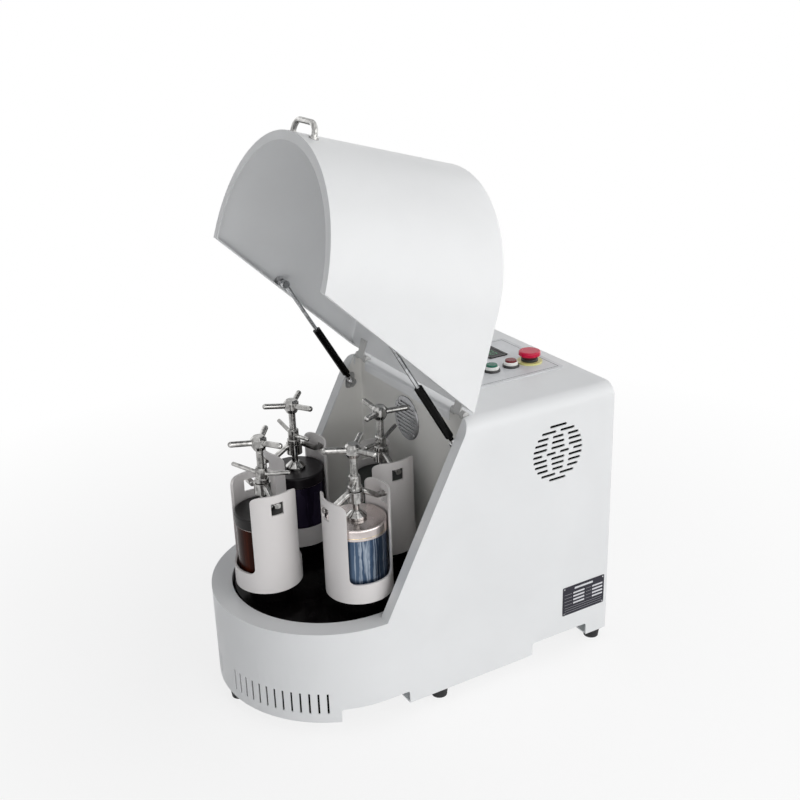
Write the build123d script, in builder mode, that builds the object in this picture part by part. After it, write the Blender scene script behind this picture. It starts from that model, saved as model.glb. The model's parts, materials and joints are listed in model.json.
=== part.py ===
from build123d import *
from math import cos, hypot, pi, radians, sin, sqrt, tan
import os

os.makedirs("parts", exist_ok=True)

# Planetary ball mill, millimetres.
# +Z is up, -Y is the round front where the jars stand, the origin lies on the bench
# under the middle of the footprint. The lid is modelled open.

# ---------------------------------------------------------------- driving sizes
# Casing
casing_width = 470.0
casing_depth = 762.0
casing_height = 576.0
ring_height = 216.0
chamber_reach = 187.6
bend_radius = 28.0
sheet = 2.5
slant_flange = 25.0
sole_flange = 42.0
rear_recess = 4.0
rear_flange = 18.0
rear_edge_radius = 3.0
rear_panel_sheet = 2.0
lip_bend = 9.0
lip_drop = 22.0
notch_length = 138.0
notch_height = 27.0
notch_corner = 5.0
front_notch_offset = -26.0
rear_notch_setback = 123.0

# Openings in the casing
ring_width = 40.4
ring_lip_depth = 14.0
vent_radius = 59.5
vent_row_pitch = 11.2
vent_slot_gap = 9.5
vent_slot_width = 5.4
vent_rear_setback = 138.4
vent_drop = 111.5
# slots in a row of the side vent, from its middle row outwards
vent_row_slots = (4, 3, 3, 3, 2, 1)
drum_slot_count = 13
drum_slot_first = 8.5
drum_slot_step = 4.3
drum_slot_width = 4.0
drum_slot_height = 44.0
drum_slot_base = 42.0

# Chamber
chamber_back = 205.0
liner_sheet = 1.5
liner_corner = 5.0
chamber_vent_x = -22.0
chamber_vent_drop = 85.0
chamber_vent_radius = 46.0
chamber_vent_hole = 38.0
chamber_vent_thickness = 3.0
chamber_slot_pitch = 8.0
chamber_slot_width = 4.0

# Feet
foot_height = 22.0
foot_radius = 18.0
foot_taper = 7.0
side_foot_inset = 21.0
middle_foot_offset = 122.0
rear_foot_inset = 22.0

# Lid
lid_rim_gap = 3.5
lid_edge_gap = 2.7
lid_top_step = 1.2
lid_flange = 17.0
lid_edge_radius = 6.0
lid_open_angle = 106.3

# Lid hinges
hinge_setback = 8.6
hinge_rise = 0.6
hinge_inset = 26.0
knuckle_radius = 6.5
knuckle_length = 22.0
knuckle_end_length = 11.0
hinge_pin_radius = 3.0
leaf_thickness = 3.0
leaf_length = 36.0
hinge_notch_gap = 1.5

# Lid handle
handle_reach = 27.0
handle_half_span = 41.0
handle_rod_radius = 5.5
handle_bend = 20.0
handle_height = 31.0
handle_washer_radius = 9.0
handle_washer = 3.0

# Gas struts
strut_inset = 10.0
strut_foot_back = 175.2
strut_foot_drop = 55.0
strut_head_setback = 15.25
strut_head_rise = 156.3
strut_tube_radius = 8.0
strut_bore_radius = 6.5
strut_rod_radius = 4.0
strut_tube_start = 24.0
strut_tube_length = 126.0
strut_cap = 8.0
strut_piston_length = 6.0
strut_neck_radius = 4.5
strut_end_length = 22.0
strut_eye_radius = 8.0
strut_eye_half_width = 5.0
strut_stud_radius = 4.0
strut_stud_head_radius = 6.5
strut_plate_width = 22.0
strut_plate_height = 34.0
strut_plate_thickness = 3.0
strut_boss_radius = 8.0
strut_boss_length = 18.0

# Control panel
panel_width = 216.0
panel_rear_margin = 26.0
panel_length = 216.0
panel_thickness = 2.0
panel_corner = 8.0
panel_rim = 14.0
display_width = 84.0
display_length = 46.0
display_x = -55.0
display_from_front = 140.0
display_rise = 1.5
display_rim = 5.0
display_depth = 18.0
button_x = 45.0
start_from_front = 81.0
stop_from_front = 128.0
estop_from_front = 175.0
button_cap_radius = 11.7
button_travel = 4.0
bezel_radius = 15.0
bezel_height = 11.0
bezel_edge = 1.5
estop_cap_radius = 22.5
estop_cap_height = 10.0
estop_neck_radius = 13.0
estop_travel = 5.0
estop_collar_radius = 26.0
estop_collar_height = 3.0
estop_cap_spare = 6.5
estop_dome = 3.5

# Chassis and drive
plate_height = 100.0
plate_thickness = 10.0
plate_hole_gap = 8.0
shaft_radius = 20.0
shaft_flange_radius = 60.0
bearing_radius = 50.0
bearing_flange_radius = 82.0
bearing_flange_thickness = 12.0
bearing_seat_length = 16.0
bearing_relief_radius = 24.0
gear_module = 3.5
sun_teeth = 48
planet_teeth = 26
gear_face = 16.0
gear_backlash = 0.6
gear_pressure_angle = 20.0
gear_dedendum = 1.25
turntable_gap = 4.6
turntable_thickness = 12.0
turntable_drop = 4.0
turntable_edge = 1.5
boss_radius = 42.0
boss_height = 24.7
driven_pulley_radius = 82.0
motor_pulley_radius = 30.0
pulley_width = 24.0
pulley_flange_height = 6.0
pulley_flange_thickness = 4.0
pulley_drop = 6.0
belt_width = 15.0
belt_thickness = 4.0
motor_back = 330.0
motor_radius = 58.0
motor_height = 190.0
motor_flange = 130.0
motor_flange_thickness = 12.0
motor_shaft_radius = 12.0
motor_bore_depth = 30.0
motor_fin_count = 20
motor_fin_height = 5.0
motor_fin_width = 3.0
motor_cowl_height = 40.0
motor_cowl_edge = 8.0
inverter_width = 110.0
inverter_depth = 70.0
inverter_height = 160.0
inverter_rear_setback = 87.0
inverter_inset = 105.0
inverter_fin_count = 7
inverter_fin_depth = 16.0
inverter_fin_width = 3.0

# Jar stations
spindle_radius = 14.0
spindle_collar_radius = 22.0
spindle_flange_radius = 34.0
holder_radius = 65.0
holder_wall = 4.0
holder_floor = 6.0
holder_base_rise = 27.0
holder_top_rise = 230.0
window_half_width = 45.0
window_sill_rise = 67.0
window_corner = 12.0
wall_corner = 13.0
bar_hole = 25.0
bar_hole_drop = 28.0
jar_radius = 56.0
jar_wall = 6.0
jar_floor = 8.0
jar_seam_rise = 155.0
jar_lid_radius = 58.0
jar_lid_rise = 177.0
jar_lid_edge = 4.0
jar_lid_spigot = 6.0

# Clamps
screw_radius = 6.5
screw_foot_radius = 20.0
screw_foot_height = 15.0
screw_neck_radius = 9.0
handle_centre_rise = 111.0
hub_radius = 15.0
hub_foot_radius = 10.5
hub_height = 27.0
hub_edge = 5.0
arm_radius = 5.7
arm_length = 59.0
arm_tip_round = 5.0
arm_lift = 7.0
bar_half_length = 68.0
bar_width = 12.0
bar_thickness = 10.0
bar_arch = 18.0
bar_boss_radius = 16.0
bar_boss_height = 22.0
bar_knee = 46.0
bar_shoulder = 17.0
bar_bend = 14.0
bar_round = 4.0
nut_radius = 11.0
nut_height = 31.0
nut_edge = 2.0
nut_collar_radius = 13.5
nut_collar_height = 9.0
tommy_rise = 47.0
tommy_radius = 4.2
tommy_length = 64.0
tommy_round = 3.5
tommy_lift = 11.0

# Power inlet on the rear panel
inlet_inset = 85.0
inlet_height = 150.0
inlet_width = 50.0
inlet_plate_height = 28.0
inlet_plate_thickness = 2.0
inlet_body_width = 30.0
inlet_body_height = 22.0
inlet_body_depth = 22.0
socket_width = 24.0
socket_height = 16.0
socket_depth = 16.0
blade_length = 7.0
blade_width = 2.0
blade_height = 4.0
blade_pitch = 7.0
louvre_count = 9
louvre_width = 180.0
louvre_height = 5.0
louvre_pitch = 14.0
louvre_drop = 176.0

# Clearances
running_gap = 0.3
shaft_gap = 0.05
fit_gap = 0.5

# Directions of the clamp parts of each jar station, degrees from +X
station_angles = {"front": -90.0, "right": 0.0, "left": 180.0, "back": 90.0}
tommy_angles = {"front": 37.0, "right": 150.0, "left": 3.0, "back": 121.0}
arm_angles = {"front": 22.0, "right": 16.5, "left": 18.0, "back": 64.0}

# ---------------------------------------------------------------- derived sizes
drum_radius = casing_width / 2
rear_y = casing_depth / 2
axis_y = -casing_depth / 2 + drum_radius
chamber_half_width = drum_radius - slant_flange
ring_opening_radius = drum_radius - ring_width
turntable_radius = ring_opening_radius - turntable_gap
hinge_x = chamber_half_width - hinge_inset
strut_x = chamber_half_width - strut_inset
inlet_x = inlet_inset - drum_radius
inverter_x = inverter_inset - drum_radius
skirt_z = foot_height
slant = chamber_reach / (casing_height - ring_height)
slant_factor = sqrt(1 + slant * slant)
lip_y = axis_y + chamber_reach
liner_y = axis_y + chamber_back
deck_back_y = liner_y + slant_flange
chamber_vent_z = casing_height - chamber_vent_drop
panel_front_y = rear_y - panel_rear_margin - panel_length

lid_rim_z = ring_height + lid_rim_gap
lid_top_z = casing_height - lid_top_step
hinge_y = lip_y + hinge_setback
hinge_z = casing_height + hinge_rise
lid_opened = (
    Location((0, hinge_y, hinge_z))
    * Location((0, 0, 0), (-lid_open_angle, 0, 0))
    * Location((0, -hinge_y, -hinge_z))
)

turntable_top = ring_height - turntable_drop
turntable_base = turntable_top - turntable_thickness
boss_top = turntable_top + boss_height
gear_base = turntable_base - turntable_thickness - gear_face
gear_top = gear_base + gear_face
plate_top = plate_height + plate_thickness
station_radius = gear_module * (sun_teeth + planet_teeth) / 2
pulley_top = plate_height - pulley_drop
pulley_base = pulley_top - pulley_width

holder_base = ring_height + holder_base_rise
holder_top = ring_height + holder_top_rise
jar_base = holder_base + holder_floor
jar_top = ring_height + jar_seam_rise
jar_lid_top = ring_height + jar_lid_rise
bar_hole_z = holder_top - bar_hole_drop
bar_end_top = bar_hole_z + bar_hole / 2 - running_gap
bar_boss_base = bar_end_top + bar_arch - bar_boss_height
handle_z = bar_hole_z + handle_centre_rise
tommy_z = bar_hole_z + tommy_rise

# a pressed button ends just below the rim of its bezel
button_cap_rise = button_travel - fit_gap
button_cap_length = bezel_height + button_cap_rise - fit_gap
estop_cap_base = estop_collar_height + estop_travel + estop_cap_spare


# ---------------------------------------------------------------- shared shapes
def save(piece, name):
    """Label a finished piece and write it as its own STEP file."""
    piece.part.label = name
    export_step(piece.part, f"parts/{name}.step")


def slant_y(z, setback=0.0):
    """Y of the slanted front of the rear housing at height z, moved back by setback."""
    return axis_y + (z - ring_height) * slant + setback * slant_factor


def plan_outline(half_width, back_y):
    """Plan of the casing: half round at the front, straight sides to back_y."""
    with BuildSketch() as outline:
        with BuildLine():
            Line((half_width, axis_y), (half_width, back_y))
            Line((half_width, back_y), (-half_width, back_y))
            Line((-half_width, back_y), (-half_width, axis_y))
            ThreePointArc(
                (-half_width, axis_y), (0, axis_y - half_width), (half_width, axis_y)
            )
        make_face()
    return outline.sketch


def side_wedge(low_z, high_z, setback, far_y):
    """Side view of all that lies between the slanted line and far_y."""
    with BuildSketch() as outline:
        with BuildLine():
            Polyline(
                (slant_y(low_z, setback), low_z),
                (slant_y(high_z, setback), high_z),
                (far_y, high_z),
                (far_y, low_z),
                close=True,
            )
        make_face()
    return outline.sketch


def housing_end(half_width, low_z, high_z, corner):
    """End view of the rear housing, its two top corners bent round."""
    with BuildSketch() as outline:
        with Locations((0, (low_z + high_z) / 2)):
            Rectangle(2 * half_width, high_z - low_z)
        fillet(outline.vertices().group_by(Axis.Y)[-1], radius=corner)
    return outline.sketch


def casing_form(inset, rear_inset, bottom_z, deck_z):
    """Closed form of the casing, drawn in by inset, with its lower body up to deck_z."""
    with BuildPart() as form:
        with BuildSketch(Plane.XZ.offset(-(rear_y - rear_inset))):
            add(
                housing_end(
                    drum_radius - inset, ring_height, casing_height - inset, bend_radius - inset
                )
            )
        extrude(amount=rear_y - rear_inset - axis_y)
        with BuildSketch(Plane.YZ):
            add(side_wedge(ring_height, casing_height, inset, rear_y))
        extrude(amount=drum_radius, both=True, mode=Mode.INTERSECT)
        with BuildSketch(Plane.XY.offset(bottom_z)):
            add(plan_outline(drum_radius - inset, rear_y - rear_inset))
        extrude(amount=deck_z - bottom_z)
    return form.part


def raised_plane(centre, turn, lift):
    """Plane facing outwards at turn degrees from +X and tilted up by lift degrees."""
    flat = cos(radians(lift))
    return Plane(
        origin=centre,
        x_dir=(-sin(radians(turn)), cos(radians(turn)), 0),
        z_dir=(flat * cos(radians(turn)), flat * sin(radians(turn)), sin(radians(lift))),
    )


def gear_outline(teeth):
    """Spur gear outline with straight flanks and a tooth centred on the X axis."""
    pitch_radius = gear_module * teeth / 2
    half_tooth = (pi * gear_module / 2 - gear_backlash) / 2
    lean = tan(radians(gear_pressure_angle))
    root_radius = pitch_radius - gear_dedendum * gear_module
    tip_radius = pitch_radius + gear_module
    root_half = (half_tooth + gear_dedendum * gear_module * lean) / root_radius
    tip_half = (half_tooth - gear_module * lean) / tip_radius
    corners = []
    for tooth in range(teeth):
        middle = 2 * pi * tooth / teeth
        for radius, side in (
            (root_radius, -root_half),
            (tip_radius, -tip_half),
            (tip_radius, tip_half),
            (root_radius, root_half),
        ):
            turn = middle + side
            corners.append((radius * cos(turn), radius * sin(turn)))
    with BuildSketch() as outline:
        with BuildLine():
            Polyline(*corners, close=True)
        make_face()
    return outline.sketch


# ---------------------------------------------------------------- casing
outer_form = casing_form(0, 0, skirt_z, ring_height)
inner_form = casing_form(sheet, rear_recess + sheet, skirt_z + sheet, ring_height - sheet)

with BuildPart() as main_casing:
    add(outer_form)
    fillet(edges().filter_by(Axis.Z).group_by(Axis.Y)[-1], radius=rear_edge_radius)
    add(inner_form, mode=Mode.SUBTRACT)
    # well between the lower body and the rear housing, behind the deck
    with BuildSketch(Plane.XY.offset(ring_height - sheet)):
        with Locations((0, (deck_back_y + rear_y - rear_recess - sheet) / 2)):
            Rectangle(2 * (drum_radius - sheet), rear_y - rear_recess - sheet - deck_back_y)
    extrude(amount=sheet, mode=Mode.SUBTRACT)
    # mouth of the chamber, with flanges left at both slanted edges
    with BuildSketch(Plane.YZ):
        add(side_wedge(ring_height, casing_height - sheet, -sheet, liner_y))
    extrude(amount=chamber_half_width, both=True, mode=Mode.SUBTRACT)
    # front edge of the top, bent down as a lip
    with BuildSketch(Plane.XY.offset(casing_height - sheet)):
        with Locations((0, lip_y + (lip_bend - sheet) / 2)):
            Rectangle(2 * chamber_half_width, lip_bend + sheet)
    extrude(amount=sheet, mode=Mode.SUBTRACT)
    with BuildSketch(Plane.YZ):
        with BuildLine():
            Line((lip_y + lip_bend, casing_height), (lip_y + lip_bend, casing_height - sheet))
            JernArc(
                start=(lip_y + lip_bend, casing_height - sheet),
                tangent=(-1, 0),
                radius=lip_bend - sheet,
                arc_size=90,
            )
            Line(
                (lip_y + sheet, casing_height - lip_bend),
                (lip_y + sheet, casing_height - lip_drop),
            )
            Line((lip_y + sheet, casing_height - lip_drop), (lip_y, casing_height - lip_drop))
            Line((lip_y, casing_height - lip_drop), (lip_y, casing_height - lip_bend))
            JernArc(
                start=(lip_y, casing_height - lip_bend),
                tangent=(0, 1),
                radius=lip_bend,
                arc_size=-90,
            )
        make_face()
    extrude(amount=chamber_half_width, both=True)
    # notches for the hinge knuckles
    with BuildSketch(Plane.XY.offset(casing_height)):
        with Locations((-hinge_x, lip_y), (hinge_x, lip_y)):
            Rectangle(
                knuckle_length + 2 * knuckle_end_length + 2 * hinge_notch_gap,
                2 * (hinge_setback + knuckle_radius + hinge_notch_gap),
            )
    extrude(amount=-lip_drop, mode=Mode.SUBTRACT)
    # round mouth over the turntable and its turned-down lip
    with BuildSketch(Plane.XY.offset(ring_height)):
        with Locations((0, axis_y)):
            Circle(ring_opening_radius)
    extrude(amount=-sheet, mode=Mode.SUBTRACT)
    with BuildSketch(Plane.XY.offset(ring_height - sheet)):
        with Locations((0, axis_y)):
            Circle(ring_opening_radius + sheet)
            Circle(ring_opening_radius, mode=Mode.SUBTRACT)
    extrude(amount=-ring_lip_depth)
    # open underside inside the sole flange
    with BuildSketch(Plane.XY.offset(skirt_z)):
        add(plan_outline(drum_radius - sole_flange, rear_y - sole_flange))
    extrude(amount=sheet, mode=Mode.SUBTRACT)
    # lifting notches in the lower edge, two on each side
    with BuildSketch(Plane.YZ):
        with Locations(
            (axis_y + front_notch_offset, skirt_z + (notch_height - notch_corner) / 2),
            (rear_y - rear_notch_setback, skirt_z + (notch_height - notch_corner) / 2),
        ):
            Rectangle(notch_length, notch_height + notch_corner)
        fillet(vertices().group_by(Axis.Y)[-1], radius=notch_corner)
    extrude(amount=drum_radius, both=True, mode=Mode.SUBTRACT)
    # recess and opening for the rear panel
    with BuildSketch(Plane.XZ.offset(-rear_y)):
        add(
            housing_end(
                drum_radius - sheet, skirt_z + sheet, casing_height - sheet, bend_radius - sheet
            )
        )
    extrude(amount=rear_recess, mode=Mode.SUBTRACT)
    with BuildSketch(Plane.XZ.offset(-rear_y)):
        add(
            housing_end(
                drum_radius - sheet - rear_flange,
                skirt_z + sheet + rear_flange,
                casing_height - sheet - rear_flange,
                bend_radius - sheet,
            )
        )
    extrude(amount=rear_recess + sheet, mode=Mode.SUBTRACT)
    # opening in the top under the control panel
    with BuildSketch(Plane.XY.offset(casing_height)):
        with Locations((0, panel_front_y + panel_length / 2)):
            Rectangle(panel_width - 2 * panel_rim, panel_length - 2 * panel_rim)
    extrude(amount=-sheet, mode=Mode.SUBTRACT)
    # round vent of slots in the right side, each row shared out evenly over its chord
    outer_row = len(vent_row_slots) - 1
    with BuildSketch(Plane.YZ.offset(drum_radius)):
        for row in range(-outer_row, outer_row + 1):
            row_z = row * vent_row_pitch
            chord = 2 * sqrt(vent_radius * vent_radius - row_z * row_z)
            slot_count = vent_row_slots[abs(row)]
            slot_length = (chord + vent_slot_gap) / slot_count - vent_slot_gap
            with Locations((rear_y - vent_rear_setback, casing_height - vent_drop + row_z)):
                with GridLocations(slot_length + vent_slot_gap, 0, slot_count, 1):
                    SlotOverall(slot_length, vent_slot_width)
    extrude(amount=-sheet, mode=Mode.SUBTRACT)
    # two rows of upright slots in the drum
    slot_turns = []
    for slot in range(drum_slot_count):
        slot_turns.append(drum_slot_first + slot * drum_slot_step)
        slot_turns.append(-drum_slot_first - slot * drum_slot_step)
    for turn in slot_turns:
        wall = Plane(
            origin=(
                drum_radius * sin(radians(turn)),
                axis_y - drum_radius * cos(radians(turn)),
                drum_slot_base + drum_slot_height / 2,
            ),
            x_dir=(cos(radians(turn)), sin(radians(turn)), 0),
            z_dir=(sin(radians(turn)), -cos(radians(turn)), 0),
        )
        with BuildSketch(wall.offset(sheet)):
            Rectangle(drum_slot_width, drum_slot_height)
        extrude(amount=-3 * sheet, mode=Mode.SUBTRACT)
save(main_casing, "main_casing")

# ---------------------------------------------------------------- rear panel and inlet
with BuildPart() as rear_panel:
    with BuildSketch(Plane.XZ.offset(rear_recess - rear_y)):
        add(
            housing_end(
                drum_radius - sheet - fit_gap,
                skirt_z + sheet + fit_gap,
                casing_height - sheet - fit_gap,
                bend_radius - sheet - fit_gap,
            )
        )
        with Locations((0, casing_height - louvre_drop)):
            with GridLocations(0, louvre_pitch, 1, louvre_count):
                Rectangle(louvre_width, louvre_height, mode=Mode.SUBTRACT)
        with Locations((inlet_x, inlet_height)):
            Rectangle(
                inlet_body_width + 2 * fit_gap,
                inlet_body_height + 2 * fit_gap,
                mode=Mode.SUBTRACT,
            )
    extrude(amount=-rear_panel_sheet)
save(rear_panel, "rear_panel")

inlet_plate_y = rear_y - rear_recess + rear_panel_sheet
with BuildPart() as mains_inlet:
    with BuildSketch(Plane.XZ.offset(-inlet_plate_y)):
        with Locations((inlet_x, inlet_height)):
            RectangleRounded(inlet_width, inlet_plate_height, inlet_plate_height / 6)
    extrude(amount=-inlet_plate_thickness)
    with BuildSketch(Plane.XZ.offset(-inlet_plate_y)):
        with Locations((inlet_x, inlet_height)):
            Rectangle(inlet_body_width, inlet_body_height)
    extrude(amount=inlet_body_depth)
    with BuildSketch(Plane.XZ.offset(-inlet_plate_y - inlet_plate_thickness)):
        with Locations((inlet_x, inlet_height)):
            Rectangle(socket_width, socket_height)
    extrude(amount=socket_depth, mode=Mode.SUBTRACT)
    with BuildSketch(Plane.XZ.offset(socket_depth - inlet_plate_y - inlet_plate_thickness)):
        with Locations((inlet_x, inlet_height)):
            with GridLocations(blade_pitch, 0, 3, 1):
                Rectangle(blade_width, blade_height)
    extrude(amount=-blade_length)
save(mains_inlet, "mains_inlet")

# ---------------------------------------------------------------- feet
with BuildPart() as rubber_feet:
    side_foot_x = drum_radius - side_foot_inset
    with BuildSketch(Plane.XY.offset(skirt_z)):
        with Locations(
            (0, axis_y - side_foot_x),
            (side_foot_x, axis_y + middle_foot_offset),
            (-side_foot_x, axis_y + middle_foot_offset),
            (side_foot_x, rear_y - rear_foot_inset),
            (-side_foot_x, rear_y - rear_foot_inset),
        ):
            Circle(foot_radius)
    extrude(amount=-foot_height, taper=foot_taper)
save(rubber_feet, "rubber_feet")

# ---------------------------------------------------------------- chassis and drive
with BuildPart() as mounting_plate:
    with BuildSketch(Plane.XY.offset(plate_height)):
        add(
            plan_outline(
                drum_radius - sheet - fit_gap, rear_y - rear_recess - sheet - fit_gap
            )
        )
        with Locations((0, axis_y)):
            Circle(bearing_relief_radius, mode=Mode.SUBTRACT)
        with Locations((0, axis_y + motor_back)):
            Circle(motor_shaft_radius + plate_hole_gap, mode=Mode.SUBTRACT)
    extrude(amount=plate_thickness)
save(mounting_plate, "mounting_plate")

drive_axis = Axis((0, axis_y, 0), (0, 0, 1))
shaft_bore = shaft_radius + shaft_gap
with BuildPart() as bearing_housing:
    with BuildSketch(Plane.XZ.offset(-axis_y)):
        with BuildLine():
            Polyline(
                (shaft_bore, plate_top),
                (bearing_flange_radius, plate_top),
                (bearing_flange_radius, plate_top + bearing_flange_thickness),
                (bearing_radius, plate_top + bearing_flange_thickness),
                (bearing_radius, gear_base),
                (shaft_bore, gear_base),
                (shaft_bore, gear_base - bearing_seat_length),
                (bearing_relief_radius, gear_base - bearing_seat_length),
                (bearing_relief_radius, plate_top + bearing_seat_length),
                (shaft_bore, plate_top + bearing_seat_length),
                close=True,
            )
        make_face()
    revolve(axis=drive_axis)
save(bearing_housing, "bearing_housing")

with BuildPart() as sun_gear:
    with BuildSketch(Plane.XY.offset(gear_base)):
        with Locations((0, axis_y)):
            add(gear_outline(sun_teeth))
            Circle(bearing_relief_radius, mode=Mode.SUBTRACT)
    extrude(amount=gear_face)
save(sun_gear, "sun_gear")

with BuildPart() as turntable:
    with BuildSketch(Plane.XY.offset(turntable_base)):
        with Locations((0, axis_y)):
            Circle(turntable_radius)
    extrude(amount=turntable_thickness)
    chamfer(edges().group_by(Axis.Z)[-1], length=turntable_edge)
    with BuildSketch(Plane.XY.offset(turntable_top)):
        with Locations((0, axis_y)):
            with PolarLocations(station_radius, len(station_angles)):
                Circle(boss_radius)
    extrude(amount=boss_height)
    with BuildSketch(Plane.XY.offset(turntable_base)):
        with Locations((0, axis_y)):
            with PolarLocations(station_radius, len(station_angles)):
                Circle(spindle_radius + shaft_gap)
    extrude(amount=turntable_thickness + boss_height, mode=Mode.SUBTRACT)
save(turntable, "turntable")


def pulley_outline(radius):
    """Half section of a flanged belt pulley, radius out and height up."""
    rim = radius + pulley_flange_height
    with BuildSketch() as outline:
        with BuildLine():
            Polyline(
                (0, pulley_base),
                (rim, pulley_base),
                (rim, pulley_base + pulley_flange_thickness),
                (radius, pulley_base + pulley_flange_thickness),
                (radius, pulley_top - pulley_flange_thickness),
                (rim, pulley_top - pulley_flange_thickness),
                (rim, pulley_top),
                (0, pulley_top),
                close=True,
            )
        make_face()
    return outline.sketch


# main shaft, turned in one piece with its belt pulley and the flange under the turntable
with BuildPart() as drive_shaft:
    with BuildSketch(Plane.XZ.offset(-axis_y)):
        with BuildLine():
            Polyline(
                (0, pulley_base - pulley_flange_thickness),
                (shaft_radius, pulley_base - pulley_flange_thickness),
                (shaft_radius, gear_top + running_gap),
                (shaft_flange_radius, gear_top + running_gap),
                (shaft_flange_radius, turntable_base),
                (0, turntable_base),
                close=True,
            )
        make_face()
    revolve(axis=drive_axis)
    with BuildSketch(Plane.XZ.offset(-axis_y)):
        add(pulley_outline(driven_pulley_radius))
    revolve(axis=drive_axis)
save(drive_shaft, "drive_shaft")

motor_y = axis_y + motor_back
motor_axis = Axis((0, motor_y, 0), (0, 0, 1))
motor_bore_top = plate_top + motor_flange_thickness + motor_bore_depth
with BuildPart() as motor_pulley:
    with BuildSketch(Plane.XZ.offset(-motor_y)):
        add(pulley_outline(motor_pulley_radius))
    revolve(axis=motor_axis)
    with BuildSketch(Plane.XY.offset(pulley_base)):
        with Locations((0, motor_y)):
            Circle(motor_shaft_radius)
    extrude(amount=motor_bore_top - running_gap - pulley_base)
save(motor_pulley, "motor_pulley")

with BuildPart() as motor:
    with BuildSketch(Plane.XY.offset(plate_top)):
        with Locations((0, motor_y)):
            RectangleRounded(motor_flange, motor_flange, motor_flange / 8)
    extrude(amount=motor_flange_thickness)
    with BuildSketch(Plane.XY.offset(plate_top)):
        with Locations((0, motor_y)):
            Circle(motor_radius)
            with PolarLocations(motor_radius, motor_fin_count):
                Rectangle(2 * motor_fin_height, motor_fin_width)
    extrude(amount=motor_height)
    with BuildSketch(Plane.XY.offset(plate_top + motor_height)):
        with Locations((0, motor_y)):
            Circle(motor_radius + motor_fin_height)
    extrude(amount=motor_cowl_height)
    fillet(edges().group_by(Axis.Z)[-1], radius=motor_cowl_edge)
    with BuildSketch(Plane.XY.offset(plate_top)):
        with Locations((0, motor_y)):
            Circle(motor_shaft_radius + shaft_gap)
    extrude(amount=motor_bore_top - plate_top, mode=Mode.SUBTRACT)
save(motor, "motor")

belt_base = (pulley_base + pulley_top - belt_width) / 2
with BuildPart() as drive_belt:
    with BuildSketch(Plane.XY.offset(belt_base)):
        for reach, belt_mode in (
            (running_gap + belt_thickness, Mode.ADD),
            (running_gap, Mode.SUBTRACT),
        ):
            with BuildSketch(mode=Mode.PRIVATE) as loop:
                with Locations((0, axis_y)):
                    Circle(driven_pulley_radius + reach)
                with Locations((0, motor_y)):
                    Circle(motor_pulley_radius + reach)
                make_hull()
            add(loop.sketch, mode=belt_mode)
    extrude(amount=belt_width)
save(drive_belt, "drive_belt")

inverter_y = rear_y - inverter_rear_setback
with BuildPart() as speed_controller:
    with BuildSketch(Plane.XY.offset(plate_top)):
        with Locations((inverter_x, inverter_y)):
            Rectangle(inverter_width, inverter_depth)
        fin_y = inverter_y + (inverter_depth + inverter_fin_depth) / 2
        with Locations((inverter_x, fin_y)):
            with GridLocations(inverter_width / inverter_fin_count, 0, inverter_fin_count, 1):
                Rectangle(inverter_fin_width, inverter_fin_depth)
    extrude(amount=inverter_height)
save(speed_controller, "speed_controller")

# ---------------------------------------------------------------- chamber
liner_top = casing_height - sheet - leaf_thickness - fit_gap
with BuildPart() as chamber_liner:
    with BuildSketch(Plane.XY.offset(ring_height)):
        with Locations((0, (axis_y + liner_y + liner_sheet) / 2)):
            Rectangle(
                2 * (chamber_half_width + liner_sheet), liner_y + liner_sheet - axis_y
            )
        fillet(vertices().group_by(Axis.Y)[-1], radius=liner_corner + liner_sheet)
        with BuildSketch(mode=Mode.PRIVATE) as room:
            with Locations((0, (axis_y - liner_sheet + liner_y) / 2)):
                Rectangle(2 * chamber_half_width, liner_y - axis_y + liner_sheet)
            fillet(room.vertices().group_by(Axis.Y)[-1], radius=liner_corner)
        add(room.sketch, mode=Mode.SUBTRACT)
    extrude(amount=liner_top - ring_height)
    with BuildSketch(Plane.YZ):
        add(side_wedge(ring_height, casing_height, sheet, axis_y - liner_sheet))
    extrude(amount=drum_radius, both=True, mode=Mode.SUBTRACT)
    with BuildSketch(Plane.XZ.offset(-liner_y)):
        with Locations((chamber_vent_x, chamber_vent_z)):
            Circle(chamber_vent_hole)
    extrude(amount=-liner_sheet, mode=Mode.SUBTRACT)
save(chamber_liner, "chamber_liner")

with BuildPart() as chamber_vent:
    with BuildSketch(Plane.XZ.offset(-liner_y)):
        with Locations((chamber_vent_x, chamber_vent_z)):
            Circle(chamber_vent_radius)
    extrude(amount=chamber_vent_thickness)
    chamfer(edges().group_by(Axis.Y)[0], length=chamber_vent_thickness / 3)
    with BuildSketch(Plane.XZ.offset(-liner_y)):
        half_rows = int(chamber_vent_hole // chamber_slot_pitch)
        for row in range(-half_rows, half_rows + 1):
            slot_z = row * chamber_slot_pitch
            slot_reach = sqrt(chamber_vent_hole * chamber_vent_hole - slot_z * slot_z)
            if slot_reach > chamber_slot_pitch:
                with Locations((chamber_vent_x, chamber_vent_z + slot_z)):
                    Rectangle(2 * slot_reach, chamber_slot_width)
    extrude(amount=chamber_vent_thickness, mode=Mode.SUBTRACT)
save(chamber_vent, "chamber_vent")

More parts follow.
